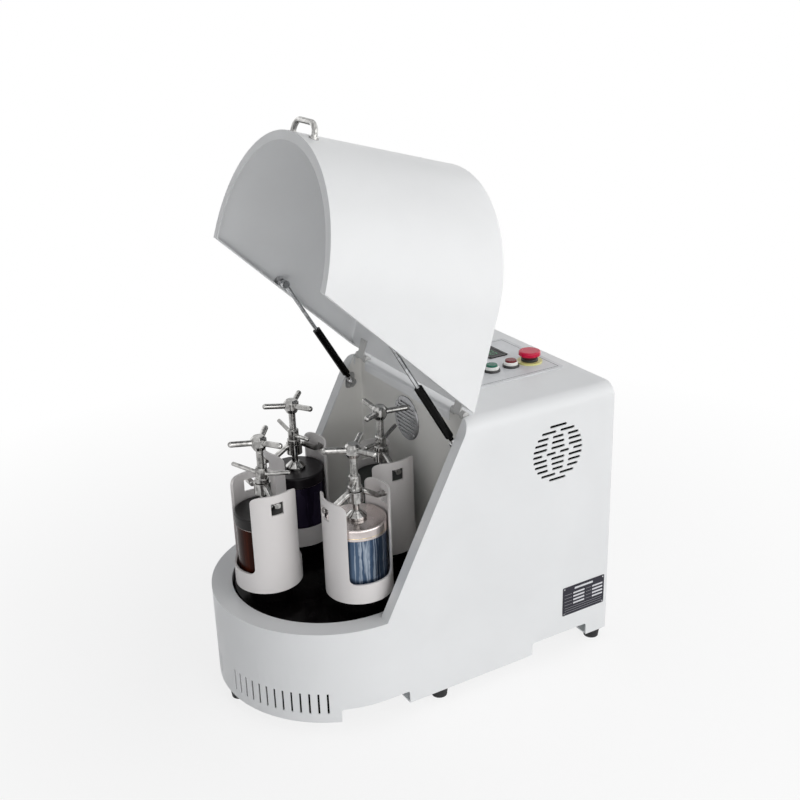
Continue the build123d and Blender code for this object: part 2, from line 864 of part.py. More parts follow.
# ---------------------------------------------------------------- control panel
panel_y = panel_front_y + panel_length / 2
panel_top = casing_height + panel_thickness
start_y = panel_front_y + start_from_front
stop_y = panel_front_y + stop_from_front
estop_y = panel_front_y + estop_from_front
display_y = panel_front_y + display_from_front
button_bore = button_cap_radius + running_gap
with BuildPart() as control_panel:
    with BuildSketch(Plane.XY.offset(casing_height)):
        with Locations((0, panel_y)):
            RectangleRounded(panel_width, panel_length, panel_corner)
        with Locations((button_x, start_y), (button_x, stop_y)):
            Circle(button_bore, mode=Mode.SUBTRACT)
        with Locations((button_x, estop_y)):
            Circle(estop_neck_radius + running_gap, mode=Mode.SUBTRACT)
        with Locations((display_x, display_y)):
            Rectangle(
                display_width - 2 * display_rim, display_length - 2 * display_rim, mode=Mode.SUBTRACT
            )
    extrude(amount=panel_thickness)
save(control_panel, "control_panel")

with BuildPart() as display:
    with BuildSketch(Plane.XY.offset(panel_top)):
        with Locations((display_x, display_y)):
            RectangleRounded(display_width, display_length, display_rim)
    extrude(amount=display_rise)
    with BuildSketch(Plane.XY.offset(panel_top)):
        with Locations((display_x, display_y)):
            Rectangle(
                display_width - 2 * display_rim - fit_gap,
                display_length - 2 * display_rim - fit_gap,
            )
    extrude(amount=-display_depth)
save(display, "display")

bezel_top = panel_top + bezel_height
with BuildPart() as button_bezels:
    with BuildSketch(Plane.XY.offset(panel_top)):
        with Locations((button_x, start_y), (button_x, stop_y)):
            Circle(bezel_radius)
    extrude(amount=bezel_height)
    chamfer(edges().group_by(Axis.Z)[-1], length=bezel_edge)
    with BuildSketch(Plane.XY.offset(panel_top)):
        with Locations((button_x, start_y), (button_x, stop_y)):
            Circle(button_bore)
    extrude(amount=bezel_height, mode=Mode.SUBTRACT)
save(button_bezels, "button_bezels")

for button_name, button_y in (("start_button", start_y), ("stop_button", stop_y)):
    with BuildPart() as button:
        with BuildSketch(Plane.XY.offset(bezel_top + button_cap_rise)):
            with Locations((button_x, button_y)):
                Circle(button_cap_radius)
        extrude(amount=-button_cap_length)
        fillet(edges().group_by(Axis.Z)[-1], radius=bezel_edge)
    save(button, button_name)

with BuildPart() as estop_collar:
    with BuildSketch(Plane.XY.offset(panel_top)):
        with Locations((button_x, estop_y)):
            Circle(estop_collar_radius)
            Circle(estop_neck_radius + running_gap, mode=Mode.SUBTRACT)
    extrude(amount=estop_collar_height)
save(estop_collar, "estop_collar")

with BuildPart() as emergency_stop:
    estop_base = panel_top + estop_cap_base
    with BuildSketch(Plane.XY.offset(estop_base)):
        with Locations((button_x, estop_y)):
            Circle(estop_cap_radius)
    extrude(amount=estop_cap_height)
    fillet(edges().group_by(Axis.Z)[-1], radius=estop_dome)
    chamfer(edges().group_by(Axis.Z)[0], length=bezel_edge)
    with BuildSketch(Plane.XY.offset(estop_base)):
        with Locations((button_x, estop_y)):
            Circle(estop_neck_radius)
    extrude(amount=-estop_cap_base - panel_thickness)
save(emergency_stop, "emergency_stop")


# ---------------------------------------------------------------- lid, built closed and swung open
def lid_form(inset):
    """Closed form of the lid, drawn in by inset on every face."""
    with BuildPart() as form:
        with BuildSketch(Plane.XY.offset(lid_rim_z + inset)):
            add(plan_outline(drum_radius - inset, lip_y))
        extrude(amount=lid_top_z - lid_rim_z - 2 * inset)
        crown = form.edges().group_by(Axis.Z)[-1].sort_by(Axis.Y)[:-1]
        fillet(crown, radius=lid_edge_radius - inset)
        with BuildSketch(Plane.YZ):
            add(side_wedge(lid_rim_z, lid_top_z, -lid_edge_gap - inset, rear_y))
        extrude(amount=drum_radius, both=True, mode=Mode.SUBTRACT)
    return form.part


with BuildPart() as lid_shell:
    add(lid_form(0))
    add(lid_form(sheet), mode=Mode.SUBTRACT)
    with BuildSketch(Plane.XY.offset(lid_rim_z)):
        add(plan_outline(drum_radius - lid_flange, lip_y))
    extrude(amount=lid_top_z - lid_rim_z - sheet, mode=Mode.SUBTRACT)
lid_shell.part.move(lid_opened)
save(lid_shell, "lid_shell")

handle_lid_z = ring_height + handle_height
handle_front_y = axis_y - drum_radius - handle_reach + handle_rod_radius
handle_root_y = axis_y - sqrt(drum_radius**2 - handle_half_span**2)
with BuildPart() as lid_handle:
    with BuildLine():
        FilletPolyline(
            (-handle_half_span, handle_root_y + handle_washer_radius, handle_lid_z),
            (-handle_half_span, handle_front_y, handle_lid_z),
            (handle_half_span, handle_front_y, handle_lid_z),
            (handle_half_span, handle_root_y + handle_washer_radius, handle_lid_z),
            radius=handle_bend,
        )
    with BuildSketch(Plane.XZ.offset(-handle_root_y - handle_washer_radius)):
        with Locations((-handle_half_span, handle_lid_z)):
            Circle(handle_rod_radius)
    sweep()
    with BuildSketch(Plane.XZ.offset(handle_washer - handle_root_y)):
        with Locations((-handle_half_span, handle_lid_z), (handle_half_span, handle_lid_z)):
            Circle(handle_washer_radius)
    extrude(amount=-handle_washer - handle_washer_radius)
    with BuildSketch(Plane.XY.offset(handle_lid_z)):
        with Locations((0, axis_y)):
            Circle(drum_radius)
    extrude(amount=2 * handle_washer_radius, both=True, mode=Mode.SUBTRACT)
lid_handle.part.move(lid_opened)
save(lid_handle, "lid_handle")

lid_leaf_top = lid_top_z - sheet
with BuildPart() as lid_hinge_leaves:
    for side in (-1, 1):
        with BuildSketch(Plane.XY.offset(lid_leaf_top)):
            with Locations((side * hinge_x, hinge_y - leaf_length / 2)):
                Rectangle(knuckle_length - 2 * running_gap, leaf_length)
        extrude(amount=-leaf_thickness)
        with BuildSketch(Plane.YZ.offset(side * hinge_x)):
            with Locations((hinge_y, hinge_z)):
                Circle(knuckle_radius)
        extrude(amount=knuckle_length / 2 - running_gap, both=True)
    with BuildSketch(Plane.YZ):
        with Locations((hinge_y, hinge_z)):
            Circle(hinge_pin_radius + shaft_gap)
    extrude(amount=drum_radius, both=True, mode=Mode.SUBTRACT)
lid_hinge_leaves.part.move(lid_opened)
save(lid_hinge_leaves, "lid_hinge_leaves")

hinge_half = knuckle_length / 2 + knuckle_end_length
casing_leaf_front = hinge_y + knuckle_radius + hinge_notch_gap / 2
with BuildPart() as casing_hinge_leaves:
    for side in (-1, 1):
        with BuildSketch(Plane.XY.offset(casing_height - sheet)):
            with Locations((side * hinge_x, (casing_leaf_front + hinge_y + leaf_length) / 2)):
                Rectangle(2 * hinge_half, hinge_y + leaf_length - casing_leaf_front)
            with Locations((side * hinge_x, hinge_y)):
                with GridLocations(knuckle_length + knuckle_end_length, 0, 2, 1):
                    Rectangle(knuckle_end_length, 2 * (casing_leaf_front - hinge_y))
        extrude(amount=-leaf_thickness)
        for end in (-1, 1):
            end_x = side * hinge_x + end * (knuckle_length + knuckle_end_length) / 2
            with BuildSketch(Plane.YZ.offset(end_x)):
                with Locations((hinge_y, hinge_z)):
                    Circle(knuckle_radius)
            extrude(amount=knuckle_end_length / 2, both=True)
        with BuildSketch(Plane.YZ.offset(side * hinge_x)):
            with Locations((hinge_y, hinge_z)):
                Circle(hinge_pin_radius)
        extrude(amount=hinge_half, both=True)
save(casing_hinge_leaves, "casing_hinge_leaves")

# ---------------------------------------------------------------- gas struts
strut_foot_y = axis_y + strut_foot_back
strut_foot_z = casing_height - strut_foot_drop
strut_head_closed_z = ring_height + strut_head_rise
strut_head_closed_y = slant_y(strut_head_closed_z) - strut_head_setback
swing = radians(lid_open_angle)
head_dy = strut_head_closed_y - hinge_y
head_dz = strut_head_closed_z - hinge_z
strut_head_y = hinge_y + head_dy * cos(swing) + head_dz * sin(swing)
strut_head_z = hinge_z - head_dy * sin(swing) + head_dz * cos(swing)
strut_length = hypot(strut_head_y - strut_foot_y, strut_head_z - strut_foot_z)
strut_lean = (strut_head_y - strut_foot_y, strut_head_z - strut_foot_z)
strut_tube_end = strut_tube_start + strut_tube_length
stud_clear = running_gap + strut_eye_half_width

with BuildPart() as lid_strut_studs:
    for side in (-1, 1):
        wall = Plane(
            origin=(side * (drum_radius - sheet), strut_head_closed_y, strut_head_closed_z),
            x_dir=(0, side, 0),
            z_dir=(-side, 0, 0),
        )
        with BuildSketch(wall):
            Circle(strut_boss_radius)
        extrude(amount=strut_boss_length)
        with BuildSketch(wall):
            Circle(strut_neck_radius)
        extrude(amount=drum_radius - sheet - strut_x - stud_clear)
lid_strut_studs.part.move(lid_opened)
save(lid_strut_studs, "lid_strut_studs")

with BuildPart() as casing_strut_studs:
    for side in (-1, 1):
        wall = Plane(
            origin=(side * chamber_half_width, strut_foot_y, strut_foot_z),
            x_dir=(0, side, 0),
            z_dir=(-side, 0, 0),
        )
        with BuildSketch(wall):
            RectangleRounded(strut_plate_width, strut_plate_height, strut_plate_width / 4)
        extrude(amount=strut_plate_thickness)
        pin_length = chamber_half_width - strut_x + stud_clear
        with BuildSketch(wall):
            Circle(strut_stud_radius)
        extrude(amount=pin_length)
        with BuildSketch(wall.offset(pin_length)):
            Circle(strut_stud_head_radius)
        extrude(amount=strut_stud_radius)
        fillet(edges().sort_by(Axis.X)[-side], radius=strut_stud_radius / 2)
save(casing_strut_studs, "casing_strut_studs")

for side_name, side in (("left", -1), ("right", 1)):
    foot_eye = Plane.YZ.offset(side * strut_x)
    # side view of the strut, Y along it from the foot pivot
    strut_side = Plane(
        origin=(side * strut_x, strut_foot_y, strut_foot_z),
        x_dir=(1, 0, 0),
        z_dir=(0, -strut_lean[1], strut_lean[0]),
    )
    strut_axis = Axis(strut_side.origin, (0, strut_lean[0], strut_lean[1]))
    rod_bore = strut_rod_radius + shaft_gap
    with BuildPart() as strut_tube:
        with BuildSketch(strut_side):
            with BuildLine():
                Polyline(
                    (0, 0),
                    (strut_neck_radius, 0),
                    (strut_neck_radius, strut_tube_start),
                    (strut_tube_radius, strut_tube_start),
                    (strut_tube_radius, strut_tube_end),
                    (rod_bore, strut_tube_end),
                    (rod_bore, strut_tube_end - strut_cap),
                    (strut_bore_radius, strut_tube_end - strut_cap),
                    (strut_bore_radius, strut_tube_start + strut_cap),
                    (0, strut_tube_start + strut_cap),
                    close=True,
                )
            make_face()
        revolve(axis=strut_axis)
        with BuildSketch(foot_eye):
            with Locations((strut_foot_y, strut_foot_z)):
                Circle(strut_eye_radius)
        extrude(amount=strut_eye_half_width, both=True)
        with BuildSketch(foot_eye):
            with Locations((strut_foot_y, strut_foot_z)):
                Circle(strut_stud_radius + shaft_gap)
        extrude(amount=strut_eye_half_width, both=True, mode=Mode.SUBTRACT)
    save(strut_tube, f"strut_tube_{side_name}")

    piston_top = strut_tube_end - strut_cap - running_gap
    piston_base = piston_top - strut_piston_length
    piston_radius = strut_bore_radius - shaft_gap
    with BuildPart() as strut_rod:
        with BuildSketch(strut_side):
            with BuildLine():
                Polyline(
                    (0, piston_base),
                    (piston_radius, piston_base),
                    (piston_radius, piston_top),
                    (strut_rod_radius, piston_top),
                    (strut_rod_radius, strut_length - strut_end_length),
                    (strut_neck_radius, strut_length - strut_end_length),
                    (strut_neck_radius, strut_length),
                    (0, strut_length),
                    close=True,
                )
            make_face()
        revolve(axis=strut_axis)
        with BuildSketch(foot_eye):
            with Locations((strut_head_y, strut_head_z)):
                Circle(strut_eye_radius)
        extrude(amount=strut_eye_half_width, both=True)
    save(strut_rod, f"strut_rod_{side_name}")

# ---------------------------------------------------------------- jar stations
gear_phase = (1 - planet_teeth % 2) * 180 / planet_teeth
bar_end_mid = bar_end_top - bar_thickness / 2
for name, turn in station_angles.items():
    out_x = cos(radians(turn))
    out_y = sin(radians(turn))
    centre_x = station_radius * out_x
    centre_y = axis_y + station_radius * out_y
    # X points away from the turntable's axis, Y along the clamp bar
    station = Plane(origin=(centre_x, centre_y, 0), x_dir=(out_x, out_y, 0), z_dir=(0, 0, 1))
    # X along the clamp bar, Y up
    upright = Plane(
        origin=(centre_x, centre_y, 0), x_dir=(-out_y, out_x, 0), z_dir=(out_x, out_y, 0)
    )
    station_axis = Axis((centre_x, centre_y, 0), (0, 0, 1))

    with BuildPart() as spindle:
        with BuildSketch(station.offset(gear_base)):
            add(gear_outline(planet_teeth), rotation=gear_phase)
        extrude(amount=gear_face)
        with BuildSketch(station.offset(gear_top)):
            Circle(spindle_collar_radius)
        extrude(amount=turntable_base - running_gap - gear_top)
        with BuildSketch(station.offset(gear_top)):
            Circle(spindle_radius)
        extrude(amount=holder_base - gear_top)
        with BuildSketch(station.offset(boss_top + running_gap)):
            Circle(spindle_flange_radius)
        extrude(amount=holder_base - boss_top - running_gap)
    save(spindle, f"planet_spindle_{name}")

    with BuildPart() as holder:
        with BuildSketch(station.offset(holder_base)):
            Circle(holder_radius)
        extrude(amount=holder_top - holder_base)
        with BuildSketch(station.offset(jar_base)):
            Circle(holder_radius - holder_wall)
        extrude(amount=holder_top - jar_base, mode=Mode.SUBTRACT)
        # windows on the inner and outer side, open at the top
        with BuildSketch(upright):
            sill_z = ring_height + window_sill_rise
            flare = window_half_width + wall_corner + fit_gap
            with BuildLine():
                Polyline(
                    (-flare, holder_top + wall_corner),
                    (-flare, holder_top),
                    (-window_half_width, holder_top),
                    (-window_half_width, sill_z),
                    (window_half_width, sill_z),
                    (window_half_width, holder_top),
                    (flare, holder_top),
                    (flare, holder_top + wall_corner),
                    close=True,
                )
            make_face()
            rim_corners = [
                corner
                for corner in vertices().group_by(Axis.Y)[1]
                if abs(corner.X) < window_half_width + fit_gap
            ]
            fillet(rim_corners, radius=wall_corner)
            fillet(vertices().group_by(Axis.Y)[0], radius=window_corner)
        extrude(amount=holder_radius, both=True, mode=Mode.SUBTRACT)
        # square holes for the ends of the clamp bar
        with BuildSketch(station.offset(bar_hole_z - bar_hole / 2)):
            Rectangle(bar_hole, 2 * holder_radius)
        extrude(amount=bar_hole, mode=Mode.SUBTRACT)
    save(holder, f"jar_holder_{name}")

    with BuildPart() as jar:
        with BuildSketch(station.offset(jar_base)):
            Circle(jar_radius)
        extrude(amount=jar_top - jar_base)
        with BuildSketch(station.offset(jar_base + jar_floor)):
            Circle(jar_radius - jar_wall)
        extrude(amount=jar_top - jar_base - jar_floor, mode=Mode.SUBTRACT)
    save(jar, f"grinding_jar_{name}")

    with BuildPart() as jar_lid:
        with BuildSketch(station.offset(jar_top)):
            Circle(jar_lid_radius)
        extrude(amount=jar_lid_top - jar_top)
        fillet(edges().group_by(Axis.Z)[-1], radius=jar_lid_edge)
        with BuildSketch(station.offset(jar_top)):
            Circle(jar_radius - jar_wall - running_gap)
        extrude(amount=-jar_lid_spigot)
    save(jar_lid, f"jar_lid_{name}")

    with BuildPart() as clamp_bar:
        with BuildLine(upright):
            FilletPolyline(
                (-bar_half_length, bar_end_mid),
                (-bar_knee, bar_end_mid),
                (-bar_shoulder, bar_end_mid + bar_arch),
                (bar_shoulder, bar_end_mid + bar_arch),
                (bar_knee, bar_end_mid),
                (bar_half_length, bar_end_mid),
                radius=bar_bend,
            )
        bar_end = Plane(
            origin=upright.from_local_coords((-bar_half_length, bar_end_mid, 0)),
            x_dir=(0, 0, 1),
            z_dir=upright.x_dir,
        )
        with BuildSketch(bar_end):
            RectangleRounded(bar_thickness, bar_width, bar_round)
        sweep()
        with BuildSketch(station.offset(bar_boss_base)):
            Circle(bar_boss_radius)
        extrude(amount=bar_boss_height)
        with BuildSketch(station.offset(bar_boss_base)):
            Circle(screw_radius + shaft_gap)
        extrude(amount=bar_boss_height, mode=Mode.SUBTRACT)
    save(clamp_bar, f"clamp_bar_{name}")

    with BuildPart() as clamp_screw:
        foot_base = jar_lid_top + running_gap
        with BuildSketch(upright):
            with BuildLine():
                Polyline(
                    (0, foot_base),
                    (screw_foot_radius, foot_base),
                    (screw_foot_radius, foot_base + screw_foot_height / 3),
                    (screw_neck_radius, foot_base + screw_foot_height),
                    (screw_radius, foot_base + screw_foot_height),
                    (screw_radius, handle_z - hub_height / 2),
                    (hub_foot_radius, handle_z - hub_height / 2),
                    (hub_radius, handle_z - hub_edge),
                    (hub_radius, handle_z + hub_height / 2 - hub_edge),
                    (hub_radius - hub_edge, handle_z + hub_height / 2),
                    (0, handle_z + hub_height / 2),
                    close=True,
                )
            make_face()
        revolve(axis=station_axis)
        for arm in range(3):
            arm_turn = arm_angles[name] + 120 * arm
            arm_plane = raised_plane((centre_x, centre_y, handle_z), arm_turn, arm_lift)
            with BuildSketch(arm_plane):
                Circle(arm_radius)
            extrude(amount=arm_length)
            tip = arm_plane.offset(arm_length).origin
            fillet(edges().filter_by(GeomType.CIRCLE).sort_by_distance(tip)[:1], arm_tip_round)
    save(clamp_screw, f"clamp_screw_{name}")

    with BuildPart() as lock_nut:
        nut_base = bar_boss_base + bar_boss_height + running_gap
        with BuildSketch(station.offset(nut_base)):
            Circle(nut_radius)
        extrude(amount=nut_height)
        chamfer(edges().group_by(Axis.Z)[-1], length=nut_edge)
        with BuildSketch(station.offset(nut_base)):
            Circle(nut_collar_radius)
        extrude(amount=nut_collar_height)
        chamfer(edges().filter_by(GeomType.CIRCLE).group_by(SortBy.RADIUS)[-1], length=nut_edge / 2)
        for end_turn in (0, 180):
            tommy_plane = raised_plane(
                (centre_x, centre_y, tommy_z), tommy_angles[name] + end_turn, tommy_lift
            )
            with BuildSketch(tommy_plane):
                Circle(tommy_radius)
            extrude(amount=tommy_length)
            tip = tommy_plane.offset(tommy_length).origin
            fillet(edges().filter_by(GeomType.CIRCLE).sort_by_distance(tip)[:1], tommy_round)
        with BuildSketch(station.offset(nut_base)):
            Circle(screw_radius + shaft_gap)
        extrude(amount=nut_height, mode=Mode.SUBTRACT)
    save(lock_nut, f"lock_nut_{name}")
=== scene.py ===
import json
from functools import partial
from math import cos, pi, radians, sin, sqrt

import bmesh
import bpy
from mathutils import Matrix, Vector


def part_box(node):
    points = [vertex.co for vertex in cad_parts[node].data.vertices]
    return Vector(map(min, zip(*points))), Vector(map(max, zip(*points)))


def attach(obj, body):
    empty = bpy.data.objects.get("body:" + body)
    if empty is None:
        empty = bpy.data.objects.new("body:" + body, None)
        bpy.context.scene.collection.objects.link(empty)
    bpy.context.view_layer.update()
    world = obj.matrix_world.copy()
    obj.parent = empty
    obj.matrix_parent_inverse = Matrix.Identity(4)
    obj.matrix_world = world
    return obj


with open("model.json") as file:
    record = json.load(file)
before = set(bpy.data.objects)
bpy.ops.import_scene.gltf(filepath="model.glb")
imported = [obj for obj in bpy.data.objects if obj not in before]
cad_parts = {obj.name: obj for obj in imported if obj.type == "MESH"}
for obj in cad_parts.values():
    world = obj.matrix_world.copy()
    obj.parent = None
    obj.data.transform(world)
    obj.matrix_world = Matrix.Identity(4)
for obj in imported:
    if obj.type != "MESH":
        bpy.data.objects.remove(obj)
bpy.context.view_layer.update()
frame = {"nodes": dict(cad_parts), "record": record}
scene = bpy.context.scene
nodes = frame["nodes"]
mm = 0.001

# ---------------------------------------------------------------- camera
# The photograph's view, fitted to the casing, the lid and the jar stations.
camera_azimuth = radians(60.01)
camera_pitch = radians(21.99)
camera_roll = radians(1.84)
camera_distance = 2.28689
camera_aim = Vector((-0.00135, 0.03158, 0.54294))
camera_lens = 51.98
sensor_width = 36.0
camera_reach = 60


def make_camera():
    """Camera at the photograph's viewing angle, rolled a little."""
    back = Vector(
        (
            sin(camera_azimuth) * cos(camera_pitch),
            -cos(camera_azimuth) * cos(camera_pitch),
            sin(camera_pitch),
        )
    )
    right = Vector((cos(camera_azimuth), sin(camera_azimuth), 0))
    up = back.cross(right)
    axis_x = right * cos(camera_roll) - up * sin(camera_roll)
    axis_y = right * sin(camera_roll) + up * cos(camera_roll)
    data = bpy.data.cameras.new("camera")
    data.lens = camera_lens
    data.sensor_width = sensor_width
    data.clip_end = camera_reach
    camera = bpy.data.objects.new("camera", data)
    scene.collection.objects.link(camera)
    pose = Matrix((axis_x, axis_y, back)).transposed().to_4x4()
    pose.translation = camera_aim + back * camera_distance
    camera.matrix_world = pose
    scene.camera = camera


# ---------------------------------------------------------------- node materials
bevel_samples = 6
# the colour sockets of the Mix node, which share their names with other sockets
mix_factor, mix_first, mix_second, mix_result = 0, 6, 7, 2


def grey(value):
    return (value, value, value, 1)


def tint(colour, factor=1.0):
    return tuple(min(channel * factor, 1.0) for channel in colour) + (1,)


class Look:
    """One node material, built up from noise, ramps and bumps around a Principled shader."""

    def __init__(self, name, metallic=0.0, roughness=0.5, **sockets):
        self.material = bpy.data.materials.new(name)
        self.material.use_nodes = True
        self.tree = self.material.node_tree
        self.shader = self.tree.nodes["Principled BSDF"]
        self.shader.inputs["Metallic"].default_value = metallic
        self.shader.inputs["Roughness"].default_value = roughness
        for socket, value in sockets.items():
            self.shader.inputs[socket.replace("_", " ")].default_value = value
        self.place = self.node("ShaderNodeTexCoord").outputs["Object"]

    def node(self, kind, **settings):
        made = self.tree.nodes.new(kind)
        for name, value in settings.items():
            setattr(made, name, value)
        return made

    def link(self, source, target):
        self.tree.links.new(source, target)

    def stretched(self, scale, place=None):
        """Coordinates scaled by a different amount along each axis."""
        mapping = self.node("ShaderNodeMapping")
        mapping.inputs["Scale"].default_value = scale
        self.link(place or self.place, mapping.inputs["Vector"])
        return mapping.outputs["Vector"]

    def wavy(self, scale, amount, stretch):
        """Object coordinates, shaken sideways by a soft noise and then stretched."""
        shake = self.node("ShaderNodeTexNoise")
        shake.inputs["Scale"].default_value = scale
        self.link(self.place, shake.inputs["Vector"])
        centred = self.node("ShaderNodeVectorMath", operation="SUBTRACT")
        centred.inputs[1].default_value = (0.5, 0.5, 0.5)
        self.link(shake.outputs["Color"], centred.inputs[0])
        sized = self.node("ShaderNodeVectorMath", operation="SCALE")
        sized.inputs["Scale"].default_value = amount
        self.link(centred.outputs["Vector"], sized.inputs[0])
        moved = self.node("ShaderNodeVectorMath", operation="ADD")
        self.link(self.place, moved.inputs[0])
        self.link(sized.outputs["Vector"], moved.inputs[1])
        return self.stretched(stretch, moved.outputs["Vector"])

    def distance(self, point):
        """How far the surface lies from a point of the piece, in metres."""
        reach = self.node("ShaderNodeVectorMath", operation="DISTANCE")
        reach.inputs[1].default_value = point
        self.link(self.place, reach.inputs[0])
        return reach.outputs["Value"]

    def noise(self, scale, detail=3.0, place=None, distortion=0.0):
        texture = self.node("ShaderNodeTexNoise")
        texture.inputs["Scale"].default_value = scale
        texture.inputs["Detail"].default_value = detail
        texture.inputs["Distortion"].default_value = distortion
        self.link(place or self.place, texture.inputs["Vector"])
        return texture.outputs["Fac"]

    def cells(self, scale):
        texture = self.node("ShaderNodeTexVoronoi")
        texture.inputs["Scale"].default_value = scale
        self.link(self.place, texture.inputs["Vector"])
        return texture.outputs["Color"]

    def ramp(self, factor, *stops):
        ramp = self.node("ShaderNodeValToRGB")
        elements = ramp.color_ramp.elements
        while len(elements) < len(stops):
            elements.new(1.0)
        for element, (position, colour) in zip(elements, stops):
            element.position = position
            element.color = colour
        self.link(factor, ramp.inputs["Fac"])
        return ramp.outputs["Color"]

    def spread(self, factor, low, high, start=0.3, end=0.7):
        """Maps the stretch from start to end onto low to high."""
        spread = self.node("ShaderNodeMapRange")
        spread.inputs["From Min"].default_value = start
        spread.inputs["From Max"].default_value = end
        spread.inputs["To Min"].default_value = low
        spread.inputs["To Max"].default_value = high
        self.link(factor, spread.inputs["Value"])
        return spread.outputs["Result"]

    def blend(self, factor, first, second, mode="MIX"):
        mix = self.node("ShaderNodeMix", data_type="RGBA", blend_type=mode)
        for value, socket in ((factor, mix_factor), (first, mix_first), (second, mix_second)):
            if isinstance(value, (tuple, float)):
                mix.inputs[socket].default_value = value
            else:
                self.link(value, mix.inputs[socket])
        return mix.outputs[mix_result]

    def softened(self, radius):
        """Normal that is rounded off at the edges of the piece."""
        soft = self.node("ShaderNodeBevel", samples=bevel_samples)
        soft.inputs["Radius"].default_value = radius
        return soft.outputs["Normal"]

    def edges(self, radius):
        """0 on flat stretches, rising to 1 at the edges of the piece."""
        plain = self.node("ShaderNodeNewGeometry")
        dot = self.node("ShaderNodeVectorMath", operation="DOT_PRODUCT")
        self.link(self.softened(radius), dot.inputs[0])
        self.link(plain.outputs["Normal"], dot.inputs[1])
        return self.spread(dot.outputs["Value"], 1.0, 0.0, start=0.82, end=0.995)

    def colour(self, source):
        self.link(source, self.shader.inputs["Base Color"])

    def roughness(self, factor, low, high):
        self.link(self.spread(factor, low, high), self.shader.inputs["Roughness"])

    def bump(self, height, distance, strength=1.0, round_edges=0.0):
        bump = self.node("ShaderNodeBump")
        bump.inputs["Distance"].default_value = distance
        bump.inputs["Strength"].default_value = strength
        self.link(height, bump.inputs["Height"])
        if round_edges:
            self.link(self.softened(round_edges), bump.inputs["Normal"])
        self.link(bump.outputs["Normal"], self.shader.inputs["Normal"])


def powder_coat(name, colour, roughness=0.36, grain=0.00006, edge=1.06, dust=0.965, patch=0.06):
    """Baked powder coat: faint orange peel, patchy gloss, slightly paler at the edges."""
    look = Look(name, Specular_IOR_Level=0.4, Coat_Weight=0.04, Coat_Roughness=0.25)
    broad = look.noise(5.0, detail=4.0, distortion=0.4)
    fine = look.noise(620.0, detail=2.0)
    body = look.ramp(broad, (0.32, tint(colour, dust)), (0.62, tint(colour)))
    look.colour(look.blend(look.edges(1.4 * mm), body, tint(colour, edge)))
    look.roughness(look.noise(38.0, detail=5.0), roughness - patch, roughness + patch)
    look.bump(fine, grain, strength=0.5, round_edges=0.8 * mm)
    return look.material


def polished(name, colour=(0.40, 0.395, 0.385), low=0.07, high=0.2, dark_reflection=0.42, scale=70.0):
    """Chrome plate: soft patches darken and brighten its colour as painted reflections and vary
    its gloss as smudges; fine polishing marks on top.
    """
    look = Look(name, metallic=1.0)
    smudge_and_reflection = look.noise(scale, detail=5.0, distortion=1.2)
    # painted reflections: dark and bright patches in the colour of the chrome
    look.colour(look.ramp(smudge_and_reflection, (0.3, tint(colour, dark_reflection)), (0.62, tint(colour, 1.15))))
    look.roughness(smudge_and_reflection, low, high)
    look.bump(look.noise(300.0, detail=4.0), 0.00008, strength=0.35, round_edges=1.0 * mm)
    return look.material


def brushed(name, colour, scale, low=0.24, high=0.4, contrast=0.84):
    """Rolled or brushed metal, its grain along the axes of the small scales."""
    look = Look(name, metallic=1.0)
    streaks = look.noise(1.0, detail=5.0, place=look.stretched(scale))
    patch = look.noise(14.0)
    grain = look.ramp(streaks, (0.3, tint(colour, contrast)), (0.7, tint(colour)))
    cloud = look.ramp(patch, (0.3, grey(0.35)), (0.7, grey(0.62)))
    look.colour(look.blend(0.25, grain, cloud))
    look.roughness(streaks, low, high)
    look.bump(streaks, 0.00006, strength=0.6, round_edges=0.7 * mm)
    return look.material


def turned(name, colour):
    """Turned and ground steel: even grain in all directions."""
    return brushed(name, colour, scale=(240, 240, 240))


def zinc_sheet(name, colour):
    """Galvanised sheet with its spangle."""
    look = Look(name, metallic=0.9)
    look.colour(look.blend(0.22, tint(colour), look.cells(95.0), mode="SOFT_LIGHT"))
    look.roughness(look.noise(60.0), 0.34, 0.52)
    look.bump(look.noise(400.0), 0.00005, strength=0.5, round_edges=0.7 * mm)
    return look.material


def moulded(name, colour, low=0.28, high=0.4, **sockets):
    """Moulded plastic with a fine spark-eroded grain."""
    look = Look(name, **sockets)
    cloud = look.noise(30.0)
    look.colour(look.ramp(cloud, (0.3, tint(colour, 0.92)), (0.7, tint(colour, 1.05))))
    look.roughness(look.noise(180.0, detail=4.0), low, high)
    look.bump(look.noise(1100.0, detail=2.0), 0.00005, strength=0.5, round_edges=0.6 * mm)
    return look.material


def rubber(name, colour):
    """Dusty black rubber."""
    look = Look(name, Specular_IOR_Level=0.3)
    dust = look.noise(45.0, detail=6.0)
    look.colour(look.ramp(dust, (0.35, tint(colour)), (0.75, tint(colour, 2.4))))
    look.roughness(dust, 0.6, 0.82)
    look.bump(look.noise(700.0, detail=4.0), 0.00012, strength=0.7, round_edges=0.9 * mm)
    return look.material


def foam(name):
    """Open black foam: painted shade, a dark sheet standing in for the dark inside behind the
    vent slots.
    """
    look = Look(name, Specular_IOR_Level=0.1)
    pores = look.blend(1.0, look.cells(520.0), grey(0.012), mode="MULTIPLY")
    look.colour(look.blend(0.5, grey(0.0025), pores))
    look.roughness(look.noise(200.0), 0.85, 1.0)
    look.bump(look.noise(900.0, detail=2.0), 0.0006)
    return look.material


def gloss_black(name):
    """Black lacquer of the turntable, with faint swirls and dust."""
    look = Look(name, Specular_IOR_Level=0.05)
    dust = look.noise(160.0, detail=6.0)
    clean = tint((0.0016, 0.0013, 0.0014))
    dusty = tint((0.006, 0.005, 0.005))
    look.colour(look.ramp(dust, (0.45, clean), (0.8, dusty)))
    look.roughness(look.noise(26.0, detail=5.0, distortion=2.0), 0.12, 0.3)
    look.bump(look.noise(420.0, detail=2.0), 0.00003, strength=0.4, round_edges=0.8 * mm)
    return look.material


